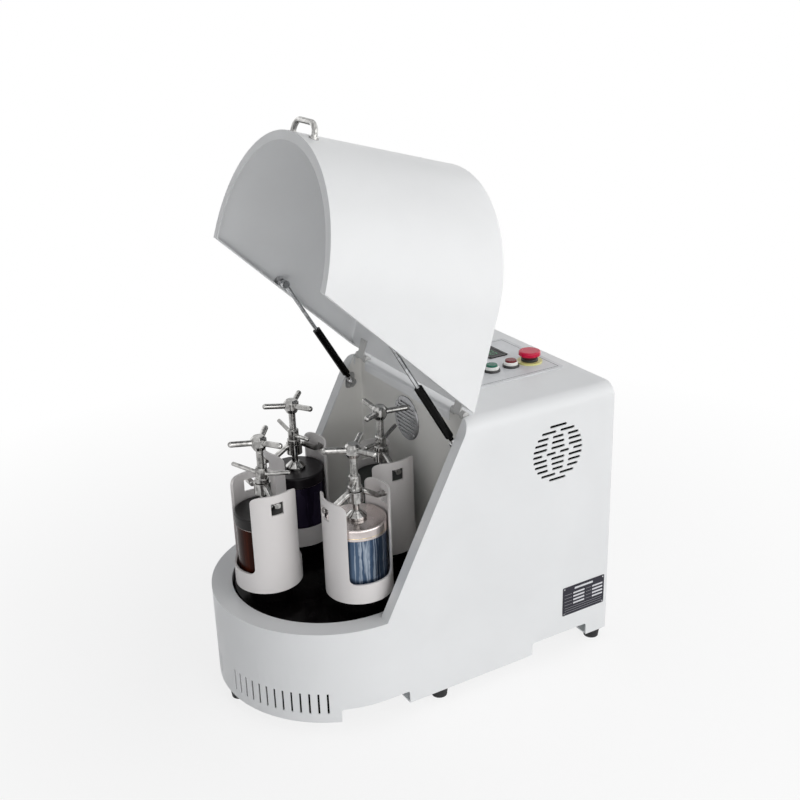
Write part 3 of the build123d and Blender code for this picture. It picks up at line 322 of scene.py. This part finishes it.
def glazed_jar(name, dark, light, metallic=0.35):
    """Lined jar body: deep colour with soft upright streaks under a gloss."""
    look = Look(name, metallic=metallic, Specular_IOR_Level=0.06)
    streaks = look.noise(1.0, place=look.stretched((26, 26, 3)), distortion=0.6)
    look.colour(look.ramp(streaks, (0.36, tint(dark)), (0.66, tint(light))))
    look.roughness(streaks, 0.2, 0.34)
    look.bump(look.noise(260.0), 0.00005, strength=0.4, round_edges=0.8 * mm)
    return look.material


def painted_reflection_steel(name):
    """Blue-grey steel jar; its upright blue bands and thin pale streaks are painted reflections.
    """
    look = Look(name, metallic=0.85)
    wide = look.noise(1.0, place=look.wavy(36.0, 0.006, (36, 36, 2.2)), distortion=0.3)
    thin = look.noise(1.0, detail=2.0, place=look.wavy(42.0, 0.004, (125, 125, 3.5)))
    # painted reflections: darker and lighter upright blue bands
    body = look.ramp(
        wide,
        (0.30, tint((0.018, 0.036, 0.072))),
        (0.50, tint((0.042, 0.074, 0.130))),
        (0.68, tint((0.085, 0.130, 0.200))),
    )
    # painted reflections: thin pale upright lines
    painted_reflection_lines = look.ramp(thin, (0.52, grey(0.0)), (0.60, grey(0.75)), (0.66, grey(0.1)))
    look.colour(look.blend(painted_reflection_lines, body, tint((0.44, 0.50, 0.58))))
    look.roughness(wide, 0.2, 0.36)
    look.bump(thin, 0.00004, strength=0.5, round_edges=0.8 * mm)
    return look.material


def strut_tube(name):
    """Glossy black tube whose lower eye, round the casing's stud, is bare steel."""
    low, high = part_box("casing_strut_studs")
    middle = (low + high) / 2
    eye_inset = 8 * mm
    bare_reach = 15 * mm
    paint_reach = 16 * mm
    look = Look(name, Specular_IOR_Level=0.08)
    nearer = look.node("ShaderNodeMath", operation="MINIMUM")
    for index, side in enumerate((-1, 1)):
        eye = (side * (high.x - eye_inset), middle.y, middle.z)
        look.link(look.distance(eye), nearer.inputs[index])
    bare = look.spread(nearer.outputs["Value"], 1.0, 0.0, start=bare_reach, end=paint_reach)
    dust = look.noise(160.0, detail=4.0)
    black = look.ramp(dust, (0.4, grey(0.0015)), (0.75, grey(0.004)))
    look.colour(look.blend(bare, black, grey(0.5)))
    look.link(bare, look.shader.inputs["Metallic"])
    look.roughness(dust, 0.1, 0.2)
    look.bump(look.noise(500.0), 0.00002, strength=0.3, round_edges=0.6 * mm)
    return look.material


def glass_black(name):
    """Dark window of the display."""
    look = Look(name, Specular_IOR_Level=0.1)
    look.colour(look.ramp(look.noise(20.0), (0.3, grey(0.005)), (0.7, grey(0.009))))
    look.roughness(look.noise(240.0, detail=5.0), 0.12, 0.22)
    look.bump(look.noise(90.0), 0.00002, strength=0.3, round_edges=0.8 * mm)
    return look.material


def lamp_green(name):
    """Faintly lit green of the display's digits."""
    look = Look(name, Emission_Strength=0.06, Emission_Color=(0.1, 0.7, 0.3, 1))
    dark = tint((0.03, 0.16, 0.08))
    bright = tint((0.04, 0.24, 0.11))
    look.colour(look.ramp(look.noise(400.0), (0.3, dark), (0.7, bright)))
    look.roughness(look.noise(200.0), 0.3, 0.4)
    return look.material


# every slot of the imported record, and then the looks that only pieces of this script wear
recipes = {
    "casing_paint": partial(powder_coat, colour=(0.80, 0.81, 0.82)),
    "lid_paint": partial(powder_coat, colour=(0.83, 0.838, 0.845)),
    "rear_panel_paint": partial(powder_coat, colour=(0.77, 0.78, 0.79), roughness=0.42),
    "liner_paint": partial(powder_coat, colour=(0.88, 0.872, 0.84), roughness=0.42),
    "holder_paint": partial(
        powder_coat, colour=(0.75, 0.725, 0.72), roughness=0.33, edge=1.2, patch=0.02
    ),
    "panel_face": partial(moulded, colour=(0.68, 0.69, 0.71), low=0.34, high=0.46),
    "display_window": glass_black,
    "vent_disc": partial(
        brushed, colour=(0.40, 0.405, 0.425), scale=(220, 220, 220), low=0.25, high=0.45,
        contrast=0.6,
    ),
    "galvanised": partial(zinc_sheet, colour=(0.55, 0.57, 0.59)),
    "machined_steel": partial(turned, colour=(0.56, 0.56, 0.57)),
    "cast_iron": partial(powder_coat, colour=(0.12, 0.13, 0.14), roughness=0.55, grain=0.0004),
    "black_turntable": gloss_black,
    "chrome": polished,
    "strut_black": strut_tube,
    "strut_rod": partial(polished, colour=(0.50, 0.51, 0.52), low=0.05, high=0.12),
    "stud_steel": partial(turned, colour=(0.47, 0.47, 0.48)),
    "hinge_steel": partial(powder_coat, colour=(0.55, 0.55, 0.54), roughness=0.38),
    "motor_paint": partial(powder_coat, colour=(0.10, 0.13, 0.18), roughness=0.45),
    "controller_case": partial(moulded, colour=(0.08, 0.085, 0.09), low=0.45, high=0.6),
    "black_rubber": partial(rubber, colour=(0.018, 0.018, 0.019)),
    "inlet_plastic": partial(moulded, colour=(0.02, 0.02, 0.021), low=0.4, high=0.55),
    "bezel_white": partial(
        moulded, colour=(0.80, 0.80, 0.78), low=0.18, high=0.28, Coat_Weight=0.3
    ),
    "button_green": partial(
        moulded, colour=(0.002, 0.12, 0.072), low=0.2, high=0.3, Specular_IOR_Level=0.3
    ),
    "button_red": partial(
        moulded, colour=(0.17, 0.007, 0.013), low=0.2, high=0.3, Specular_IOR_Level=0.3
    ),
    "estop_red": partial(
        moulded, colour=(0.58, 0.003, 0.048), low=0.16, high=0.28, Specular_IOR_Level=0.3
    ),
    "estop_yellow": partial(moulded, colour=(0.74, 0.72, 0.28), low=0.3, high=0.4),
    "jar_front_body": partial(
        glazed_jar, dark=(0.026, 0.004, 0.001), light=(0.085, 0.013, 0.003), metallic=0.0
    ),
    "jar_front_lid": partial(
        moulded, colour=(0.012, 0.011, 0.011), low=0.32, high=0.44, Specular_IOR_Level=0.2
    ),
    "jar_right_body": painted_reflection_steel,
    "jar_right_lid": partial(
        polished, colour=(0.58, 0.525, 0.51), low=0.2, high=0.3, dark_reflection=0.86, scale=14.0
    ),
    "jar_left_body": partial(glazed_jar, dark=(0.010, 0.007, 0.016), light=(0.038, 0.030, 0.062)),
    "jar_left_lid": partial(moulded, colour=(0.010, 0.008, 0.010), Specular_IOR_Level=0.2),
    "jar_back_body": partial(glazed_jar, dark=(0.012, 0.02, 0.018), light=(0.035, 0.06, 0.052)),
    "jar_back_lid": partial(
        moulded, colour=(0.010, 0.014, 0.013), low=0.3, high=0.42, Specular_IOR_Level=0.25
    ),
    "gold_seam": partial(polished, colour=(0.83, 0.66, 0.36), low=0.14, high=0.3),
    "pale_seam": partial(polished, colour=(0.66, 0.58, 0.55), low=0.16, high=0.32),
    "plate_black": partial(
        moulded, colour=(0.018, 0.017, 0.028), low=0.3, high=0.42, Specular_IOR_Level=0.3
    ),
    "plate_ink": partial(moulded, colour=(0.30, 0.30, 0.32), low=0.4, high=0.5),
    "plate_field": partial(moulded, colour=(0.72, 0.72, 0.75), low=0.4, high=0.5),
    # near-black sheet that paints the shade behind the vent slots
    "filter_foam": foam,
    "estop_dark": partial(moulded, colour=(0.09, 0.008, 0.014), low=0.3, high=0.42),
    "line_grey": partial(moulded, colour=(0.07, 0.07, 0.075), low=0.4, high=0.5),
    "digit_green": lamp_green,
}
looks = {name: make(name) for name, make in recipes.items()}


def dress_cad_nodes():
    """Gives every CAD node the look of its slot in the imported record."""
    for row in frame["record"]["subparts"]:
        mesh = nodes[row["node"]].data
        mesh.materials.clear()
        mesh.materials.append(looks[row["material_slot"]])


# ---------------------------------------------------------------- making small pieces
def add_piece(name, build, look, body, crease=None):
    """Makes a mesh from a bmesh filled by build and lets it ride on a body.

    With a crease angle it is shaded smooth, apart from edges sharper than that.
    """
    mesh = bpy.data.meshes.new(name)
    work = bmesh.new()
    build(work)
    bmesh.ops.recalc_face_normals(work, faces=work.faces)
    work.to_mesh(mesh)
    work.free()
    mesh.materials.append(looks[look])
    piece = bpy.data.objects.new(name, mesh)
    scene.collection.objects.link(piece)
    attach(piece, body)
    if crease:
        smooth(piece, crease)


def smooth(piece, angle):
    """Smooth shading that keeps creases sharper than the angle, in degrees."""
    mesh = piece.data
    mesh.shade_smooth()
    edges = bmesh.new()
    edges.from_mesh(mesh)
    for edge in edges.edges:
        edge.smooth = not (edge.is_manifold and edge.calc_face_angle(0) > radians(angle))
    edges.to_mesh(mesh)
    edges.free()


def facing(origin, normal):
    """Matrix whose Z points along normal from origin."""
    turn = Vector(normal).to_track_quat("Z", "Y").to_matrix().to_4x4()
    turn.translation = origin
    return turn


def top_middle(node):
    """Middle of the top of a CAD node's box."""
    low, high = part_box(node)
    return Vector(((low.x + high.x) / 2, (low.y + high.y) / 2, high.z))


def revolve(work, profile, matrix, steps):
    """Closed body of revolution: profile is (radius, height) pairs from axis to axis."""
    rings = []
    for radius, height in profile:
        if radius == 0:
            rings.append([work.verts.new(matrix @ Vector((0, 0, height)))])
            continue
        ring = []
        for step in range(steps):
            turn = 2 * pi * step / steps
            point = Vector((radius * cos(turn), radius * sin(turn), height))
            ring.append(work.verts.new(matrix @ point))
        rings.append(ring)
    for lower, upper in zip(rings, rings[1:]):
        for step in range(steps):
            corners = [
                lower[step % len(lower)],
                lower[(step + 1) % len(lower)],
                upper[(step + 1) % len(upper)],
                upper[step % len(upper)],
            ]
            unique = [corner for i, corner in enumerate(corners) if corner not in corners[:i]]
            if len(unique) > 2:
                work.faces.new(unique)


def torus(work, centre, major, minor):
    """Ring about the vertical axis."""
    steps = 64
    sides = 10
    rings = []
    for step in range(steps):
        turn = 2 * pi * step / steps
        ring = []
        for side in range(sides):
            roll = 2 * pi * side / sides
            reach = major + minor * cos(roll)
            point = (reach * cos(turn), reach * sin(turn), minor * sin(roll))
            ring.append(work.verts.new(centre + Vector(point)))
        rings.append(ring)
    for step in range(steps):
        here = rings[step]
        there = rings[(step + 1) % steps]
        for side in range(sides):
            after = (side + 1) % sides
            work.faces.new((here[side], there[side], there[after], here[after]))


def helix(work, centre, radius, height, pitch, ridge):
    """Raised thread ridge wound upwards about the vertical axis."""
    per_turn = 28
    steps = int(height / pitch * per_turn)
    previous = None
    for step in range(steps + 1):
        turn = 2 * pi * step / per_turn
        rise = pitch * step / per_turn
        section = []
        for reach, lift in ((-ridge / 2, -ridge), (ridge, 0), (-ridge / 2, ridge)):
            distance = radius + reach
            point = (distance * cos(turn), distance * sin(turn), rise + lift)
            section.append(work.verts.new(centre + Vector(point)))
        if previous:
            for side in range(3):
                after = (side + 1) % 3
                work.faces.new((previous[side], section[side], section[after], previous[after]))
        else:
            work.faces.new(section)
        previous = section
    work.faces.new(previous[::-1])


def slab(work, matrix, width, length, thickness, corner=0.0):
    """Flat plate, with rounded corners if asked, standing on the matrix's XY plane."""
    corner_points = 7 if corner else 1
    corner_turn = 15
    outline = []
    for sign_x, sign_y, start in ((1, 1, 0), (-1, 1, 90), (-1, -1, 180), (1, -1, 270)):
        middle = ((width / 2 - corner) * sign_x, (length / 2 - corner) * sign_y)
        for step in range(corner_points):
            turn = radians(start + step * corner_turn)
            outline.append((middle[0] + corner * cos(turn), middle[1] + corner * sin(turn)))
    lower = [work.verts.new(matrix @ Vector((x, y, 0))) for x, y in outline]
    upper = [work.verts.new(matrix @ Vector((x, y, thickness))) for x, y in outline]
    work.faces.new(lower[::-1])
    work.faces.new(upper)
    for index in range(len(outline)):
        after = (index + 1) % len(outline)
        work.faces.new((lower[index], lower[after], upper[after], upper[index]))


def four_bars(work, middle, half_x, half_y, long_x, long_y, line, thickness):
    """Four flat bars round a rectangle; half_x and half_y say how far out they lie."""
    for side_x, side_y, size_x, size_y in (
        (0, 1, long_x, line), (0, -1, long_x, line), (1, 0, line, long_y), (-1, 0, line, long_y)
    ):
        offset = Vector((side_x * half_x, side_y * half_y, 0))
        slab(work, Matrix.Translation(middle + offset), size_x, size_y, thickness)


def screws(name, places, radius, body, look="stud_steel"):
    """A group of like screw heads with a round socket; places holds (origin, normal) pairs."""
    height = radius * 0.55
    socket = radius * 0.42
    head = [
        (0, 0),
        (radius, 0),
        (radius, height * 0.35),
        (radius * 0.86, height * 0.75),
        (radius * 0.6, height),
        (socket, height),
        (socket, height * 0.55),
        (0, height * 0.45),
    ]

    def build(work):
        for origin, normal in places:
            revolve(work, head, facing(origin, normal), steps=24)

    add_piece(name, build, look, body, crease=35)


# ---------------------------------------------------------------- pieces on the casing
def nameplate():
    """Bare plate on the right side: blank fields, ruled rows and four rivets."""
    casing_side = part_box("main_casing")[1].x
    plate_y = (0.2635, 0.371)
    plate_z = (0.087, 0.153)
    centre = Vector((casing_side, sum(plate_y) / 2, sum(plate_z) / 2))
    width = plate_y[1] - plate_y[0]
    height = plate_z[1] - plate_z[0]
    thickness = 0.8 * mm
    corner = 2.5 * mm
    # the plate's own X runs along the casing, its Y upwards and its Z outwards
    face = Matrix.Translation(centre) @ Matrix(((0, 0, 1), (1, 0, 0), (0, 1, 0))).to_4x4()

    # middles and lengths of the marks, as shares of the plate's width and height
    rows = (0.225, 0.105, -0.015, -0.135)
    row_fields = ((-0.115, 0.27), (0.335, 0.25))
    row_dashes = ((-0.37, 0.18), (0.12, 0.13))
    title_row, title_reach = 0.385, 0.44
    rule_rows, rule_reach = (-0.25, -0.33, -0.41), 0.9
    field_height = 3.6 * mm
    title_height = 4.4 * mm
    dash_height = 0.9 * mm
    rule_height = 0.8 * mm
    mark_thickness = 0.12 * mm

    def mark(work, side, rise, reach, mark_height):
        spot = face @ Matrix.Translation((width * side, height * rise, thickness))
        slab(work, spot, width * reach, mark_height, mark_thickness)

    def plate(work):
        slab(work, face, width, height, thickness, corner)

    def fields(work):
        for row in rows:
            for side, reach in row_fields:
                mark(work, side, row, reach, field_height)
        mark(work, 0.0, title_row, title_reach, title_height)

    def rules(work):
        for row in rows:
            for side, reach in row_dashes:
                mark(work, side, row, reach, dash_height)
        for row in rule_rows:
            mark(work, 0.0, row, rule_reach, rule_height)

    add_piece("nameplate", plate, "plate_black", "casing")
    add_piece("nameplate_fields", fields, "plate_field", "casing")
    add_piece("nameplate_rules", rules, "plate_ink", "casing")
    rivet_margin = 4 * mm
    half_y = width / 2 - rivet_margin
    half_z = height / 2 - rivet_margin
    rivets = []
    for side_y in (-1, 1):
        for side_z in (-1, 1):
            offset = Vector((thickness, side_y * half_y, side_z * half_z))
            rivets.append((centre + offset, (1, 0, 0)))
    screws("nameplate_rivets", rivets, 1.7 * mm, "casing", "strut_rod")


def panel_details():
    """Outline round the panel, black bases of the push buttons and a blank readout."""
    low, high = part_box("control_panel")
    panel = top_middle("control_panel")
    inset = 9 * mm
    line = 1.0 * mm
    line_thickness = 0.15 * mm
    outline_x = high.x - low.x - 2 * inset
    outline_y = high.y - low.y - 2 * inset

    def outline(work):
        four_bars(
            work, panel, outline_x / 2, outline_y / 2, outline_x, outline_y,
            line, line_thickness,
        )

    add_piece("panel_outline", outline, "line_grey", "casing")

    inner = 15.2 * mm
    outer_foot = 17.2 * mm
    outer_shoulder = 16.8 * mm
    outer_top = 16.2 * mm
    shoulder = 4.4 * mm
    rise = 5.2 * mm
    base = [
        (inner, 0),
        (outer_foot, 0),
        (outer_shoulder, shoulder),
        (outer_top, rise),
        (inner, rise),
        (inner, 0),
    ]

    def bases(work):
        for node in ("start_button", "stop_button"):
            spot = top_middle(node)
            spot.z = panel.z
            revolve(work, base, Matrix.Translation(spot), steps=48)

    add_piece("button_bases", bases, "inlet_plastic", "casing", crease=40)

    low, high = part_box("display")
    window = top_middle("display")
    digit_x = 8 * mm
    digit_y = 15 * mm
    digit_pitch = 14 * mm
    stroke = 1.5 * mm
    digit_thickness = 0.1 * mm
    rim = 5 * mm
    rim_thickness = 0.6 * mm
    size_x = high.x - low.x
    size_y = high.y - low.y

    def digits(work):
        for column in (-1.5, -0.5, 0.5, 1.5):
            middle = window + Vector((column * digit_pitch, 0, 0))
            four_bars(
                work, middle, digit_x / 2, digit_y / 2, digit_x, digit_y,
                stroke, digit_thickness,
            )

    def frame_rim(work):
        four_bars(
            work, window, (size_x - rim) / 2, (size_y - rim) / 2, size_x, size_y,
            rim, rim_thickness,
        )

    add_piece("display_digits", digits, "digit_green", "casing")
    add_piece("display_frame", frame_rim, "inlet_plastic", "casing")


def chamber_details():
    """Wire mesh and screws of the chamber's round vent, screws of the strut plates."""
    low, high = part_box("chamber_vent")
    centre = (low + high) / 2
    wall_y = high.y
    hole = 37.5 * mm
    pitch = 1.7 * mm
    wire = 0.35 * mm
    upright = Matrix.Rotation(radians(90), 4, "X")

    def mesh_wires(work):
        count = int(hole / pitch)
        for index in range(-count, count + 1):
            offset = index * pitch
            reach = sqrt(hole * hole - offset * offset)
            warp = Matrix.Translation((centre.x + offset, wall_y + wire, centre.z))
            slab(work, warp @ upright, 2 * wire, 2 * reach, 2 * wire)
            weft = Matrix.Translation((centre.x, wall_y + 2 * wire, centre.z + offset))
            slab(work, weft @ upright, 2 * reach, 2 * wire, 2 * wire)

    add_piece("vent_mesh", mesh_wires, "stud_steel", "casing")
    rim_margin = 4 * mm
    ring = (high.x - low.x) / 2 - rim_margin
    heads = []
    for turn in (45, 135, 225, 315):
        across = ring * cos(radians(turn))
        rise = ring * sin(radians(turn))
        heads.append((Vector((centre.x + across, low.y, centre.z + rise)), (0, -1, 0)))
    screws("vent_screws", heads, 2.6 * mm, "casing")

    low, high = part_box("casing_strut_studs")
    middle = (low + high) / 2
    plate_thickness = 3 * mm
    screw_offset = 12 * mm
    wall = high.x - plate_thickness
    plates = []
    for side in (-1, 1):
        for end in (-1, 1):
            spot = Vector((side * wall, middle.y, middle.z + end * screw_offset))
            plates.append((spot, (-side, 0, 0)))
    screws("strut_plate_screws", plates, 2.3 * mm, "casing")


def shade_backings():
    """Black foam sheets behind the round side vent and behind the drum's slots, as painted shade
    that keeps the slots dark.
    """
    low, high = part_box("main_casing")
    depth = 4 * mm
    side_inset = 2.6 * mm
    vent_from_back = 138.4 * mm
    vent_from_top = 111.5 * mm
    disc_radius = 68 * mm
    bevel = 2 * mm
    vent = Vector((high.x - side_inset, high.y - vent_from_back, high.z - vent_from_top))
    disc = [
        (0, 0),
        (disc_radius - bevel, 0),
        (disc_radius, bevel),
        (disc_radius, depth),
        (0, depth),
    ]

    # painted shade: black disc behind the round side vent
    def pad(work):
        revolve(work, disc, facing(vent, (-1, 0, 0)), steps=64)

    add_piece("side_vent_shade_backing", pad, "filter_foam", "casing", crease=50)

    drum_inset = 2.8 * mm
    outer = high.x - drum_inset
    inner = outer - depth
    axis_y = low.y + high.x
    bottom = low.z + 16 * mm
    top = low.z + 68 * mm
    half_sweep = 61.5
    steps = 48

    # painted shade: black strip behind the drum's slots
    def strip(work):
        rings = []
        for step in range(steps + 1):
            turn = radians(half_sweep * (2 * step / steps - 1))
            ring = []
            for radius, z in ((outer, bottom), (outer, top), (inner, top), (inner, bottom)):
                point = (radius * sin(turn), axis_y - radius * cos(turn), z)
                ring.append(work.verts.new(point))
            rings.append(ring)
        for here, there in zip(rings, rings[1:]):
            for corner in range(4):
                after = (corner + 1) % 4
                work.faces.new((here[corner], there[corner], there[after], here[after]))
        work.faces.new(rings[0])
        work.faces.new(rings[-1][::-1])

    add_piece("drum_shade_backing", strip, "filter_foam", "casing", crease=50)


def estop_details():
    """Dark sleeve on the collar and the ribbed skirt that slides down inside it."""
    place = Matrix.Translation(top_middle("estop_collar"))
    inner = 15.3 * mm
    outer = 17.2 * mm
    rise = 5.8 * mm
    bevel = 1 * mm
    profile = [
        (inner, 0),
        (outer, 0),
        (outer, rise - bevel),
        (outer - bevel, rise),
        (inner, rise),
        (inner, 0),
    ]

    def sleeve(work):
        revolve(work, profile, place, steps=48)

    teeth = 24
    corners = 4 * teeth
    tooth_tip = 15.0 * mm
    tooth_root = 14.0 * mm
    skirt_low = 5.3 * mm
    skirt_high = 11.5 * mm

    def skirt(work):
        lower = []
        upper = []
        for step in range(corners):
            radius = tooth_tip if step % 4 < 2 else tooth_root
            turn = 2 * pi * step / corners
            point = Vector((radius * cos(turn), radius * sin(turn), skirt_low))
            lower.append(work.verts.new(place @ point))
            point.z = skirt_high
            upper.append(work.verts.new(place @ point))
        work.faces.new(lower[::-1])
        work.faces.new(upper)
        for step in range(corners):
            after = (step + 1) % corners
            work.faces.new((lower[step], lower[after], upper[after], upper[step]))

    add_piece("estop_sleeve", sleeve, "inlet_plastic", "casing", crease=40)
    add_piece("estop_skirt", skirt, "estop_dark", "emergency_stop")


def rear_details():
    """Screws round the rear panel and in the inlet's flange."""
    low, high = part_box("rear_panel")
    outwards = (0, 1, 0)
    margin = 11 * mm
    side_shares = (0.03, 0.33, 0.63, 0.90)
    inner_x = 70 * mm
    places = []
    for x in (low.x + margin, high.x - margin):
        for share in side_shares:
            z = low.z + (high.z - low.z) * share
            places.append((Vector((x, high.y, z)), outwards))
    for x in (-inner_x, inner_x):
        for z in (low.z + margin, high.z - margin):
            places.append((Vector((x, high.y, z)), outwards))
    screws("rear_panel_screws", places, 3.6 * mm, "casing")

    low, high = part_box("mains_inlet")
    middle = (low + high) / 2
    flange_margin = 4.5 * mm
    reach = (high.x - low.x) / 2 - flange_margin
    flange = [
        (Vector((middle.x + side * reach, high.y, middle.z)), outwards) for side in (-1, 1)
    ]
    screws("inlet_screws", flange, 2.2 * mm, "casing")


# ---------------------------------------------------------------- pieces on the jar stations
def station_details(name, gilded):
    """Seam ring of the jar, gold ring on a gilded one, and the clamp screw's thread."""
    low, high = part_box(f"grinding_jar_{name}")
    centre = top_middle(f"grinding_jar_{name}")
    radius = (high.x - low.x) / 2
    body = f"station_{name}"
    seam_stand_off = 0.6 * mm
    seam_wire = 1.3 * mm
    band_rise = 5 * mm
    band_stand_off = 0.4 * mm
    band_wire = 1.8 * mm

    def seam(work):
        torus(work, centre, radius + seam_stand_off, seam_wire)

    def band(work):
        raised = centre + Vector((0, 0, band_rise))
        torus(work, raised, radius + band_stand_off, band_wire)

    add_piece(f"jar_seam_{name}", seam, "pale_seam", body, crease=60)
    if gilded:
        add_piece(f"jar_band_{name}", band, "gold_seam", body, crease=60)

    nut_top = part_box(f"lock_nut_{name}")[1].z
    screw_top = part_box(f"clamp_screw_{name}")[1].z
    nut_gap = 1.5 * mm
    hub_height = 28 * mm
    thread_radius = 6.5 * mm
    thread_pitch = 2.0 * mm
    thread_ridge = 0.55 * mm
    start = Vector((centre.x, centre.y, nut_top + nut_gap))
    length = screw_top - hub_height - start.z

    def thread(work):
        helix(work, start, thread_radius, length, thread_pitch, thread_ridge)

    add_piece(f"screw_thread_{name}", thread, "chrome", f"clamp_screw_{name}")


# ---------------------------------------------------------------- studio
# name, place, width and height, power in watts, colour
lamps = (
    ("key_side", (2.9, 1.1, 1.75), (3.2, 3.0), 55, (1.0, 0.995, 0.985)),
    ("front_soft", (0.9, -3.2, 1.5), (2.2, 2.0), 8, (0.98, 0.985, 1.0)),
    ("top_soft", (0.3, 0.2, 3.2), (2.0, 2.0), 11, (1, 1, 1)),
    ("left_fill", (-2.8, -0.6, 1.3), (2.0, 2.0), 9, (1, 1, 1)),
    ("rear_fill", (0.2, 3.0, 1.7), (3.6, 2.8), 38, (1, 1, 1)),
    ("camera_fill", (2.6, -1.6, 0.75), (3.0, 1.4), 23, (1, 1, 1)),
)
lamp_target = Vector((0, -0.05, 0.5))
ambient_colour = (0.93, 0.96, 1.0, 1)
ambient_strength = 0.11
floor_radius = 9


def light(name, place, size, power, colour):
    """Rectangular lamp that faces the object."""
    data = bpy.data.lights.new(name, "AREA")
    data.shape = "RECTANGLE"
    data.size, data.size_y = size
    data.energy = power
    data.color = colour
    lamp = bpy.data.objects.new(name, data)
    turn = (lamp_target - Vector(place)).to_track_quat("-Z", "Y").to_matrix().to_4x4()
    lamp.matrix_world = Matrix.Translation(place) @ turn
    scene.collection.objects.link(lamp)


def white_background(tree, shaded, white, share=None):
    """Mixes a white shader over another for camera, glossy and transmission rays."""
    path = tree.nodes.new("ShaderNodeLightPath")

    def combine(operation, first, second):
        math = tree.nodes.new("ShaderNodeMath")
        math.operation = operation
        tree.links.new(first, math.inputs[0])
        tree.links.new(second, math.inputs[1])
        return math.outputs["Value"]

    seen = path.outputs["Is Camera Ray"]
    for kind in ("Is Glossy Ray", "Is Transmission Ray"):
        seen = combine("MAXIMUM", seen, path.outputs[kind])
    if share is not None:
        seen = combine("MULTIPLY", seen, share)
    mix = tree.nodes.new("ShaderNodeMixShader")
    tree.links.new(seen, mix.inputs["Fac"])
    tree.links.new(shaded, mix.inputs[1])
    tree.links.new(white, mix.inputs[2])
    return mix.outputs["Shader"]


def make_world():
    """Faint ambient light, and plain white where the world itself is seen."""
    world = bpy.data.worlds.new("studio")
    world.use_nodes = True
    tree = world.node_tree
    ambient = tree.nodes["Background"]
    ambient.inputs["Color"].default_value = ambient_colour
    ambient.inputs["Strength"].default_value = ambient_strength
    shown = tree.nodes.new("ShaderNodeBackground")
    shown.inputs["Color"].default_value = grey(1.0)
    shown.inputs["Strength"].default_value = 1.0
    out = white_background(tree, ambient.outputs[0], shown.outputs[0])
    tree.links.new(out, tree.nodes["World Output"].inputs["Surface"])
    scene.world = world


def make_floor():
    """Pale floor that keeps the shadow near the object and turns fully white further out."""
    mesh = bpy.data.meshes.new("floor")
    work = bmesh.new()
    bmesh.ops.create_circle(work, cap_ends=True, segments=64, radius=floor_radius)
    work.to_mesh(mesh)
    work.free()
    floor = bpy.data.objects.new("floor", mesh)
    scene.collection.objects.link(floor)
    look = Look("floor", roughness=0.9)
    look.colour(look.ramp(look.noise(2.0), (0.3, grey(0.86)), (0.7, grey(0.89))))
    glow = look.node("ShaderNodeEmission")
    glow.inputs["Strength"].default_value = 1.0
    share = look.spread(look.distance((0, 0, 0)), 0.80, 1.0, start=0.5, end=1.7)
    surface = white_background(look.tree, look.shader.outputs[0], glow.outputs[0], share)
    look.link(surface, look.tree.nodes["Material Output"].inputs["Surface"])
    mesh.materials.append(look.material)


# ---------------------------------------------------------------- scene
make_camera()
dress_cad_nodes()
nameplate()
panel_details()
chamber_details()
shade_backings()
estop_details()
rear_details()
for station in ("front", "right", "left", "back"):
    station_details(station, gilded=station == "right")
make_world()
make_floor()
for lamp_settings in lamps:
    light(*lamp_settings)
scene.view_settings.view_transform = "Standard"


def plain(bounds):
    return [[float(value) for value in corner] for corner in bounds]
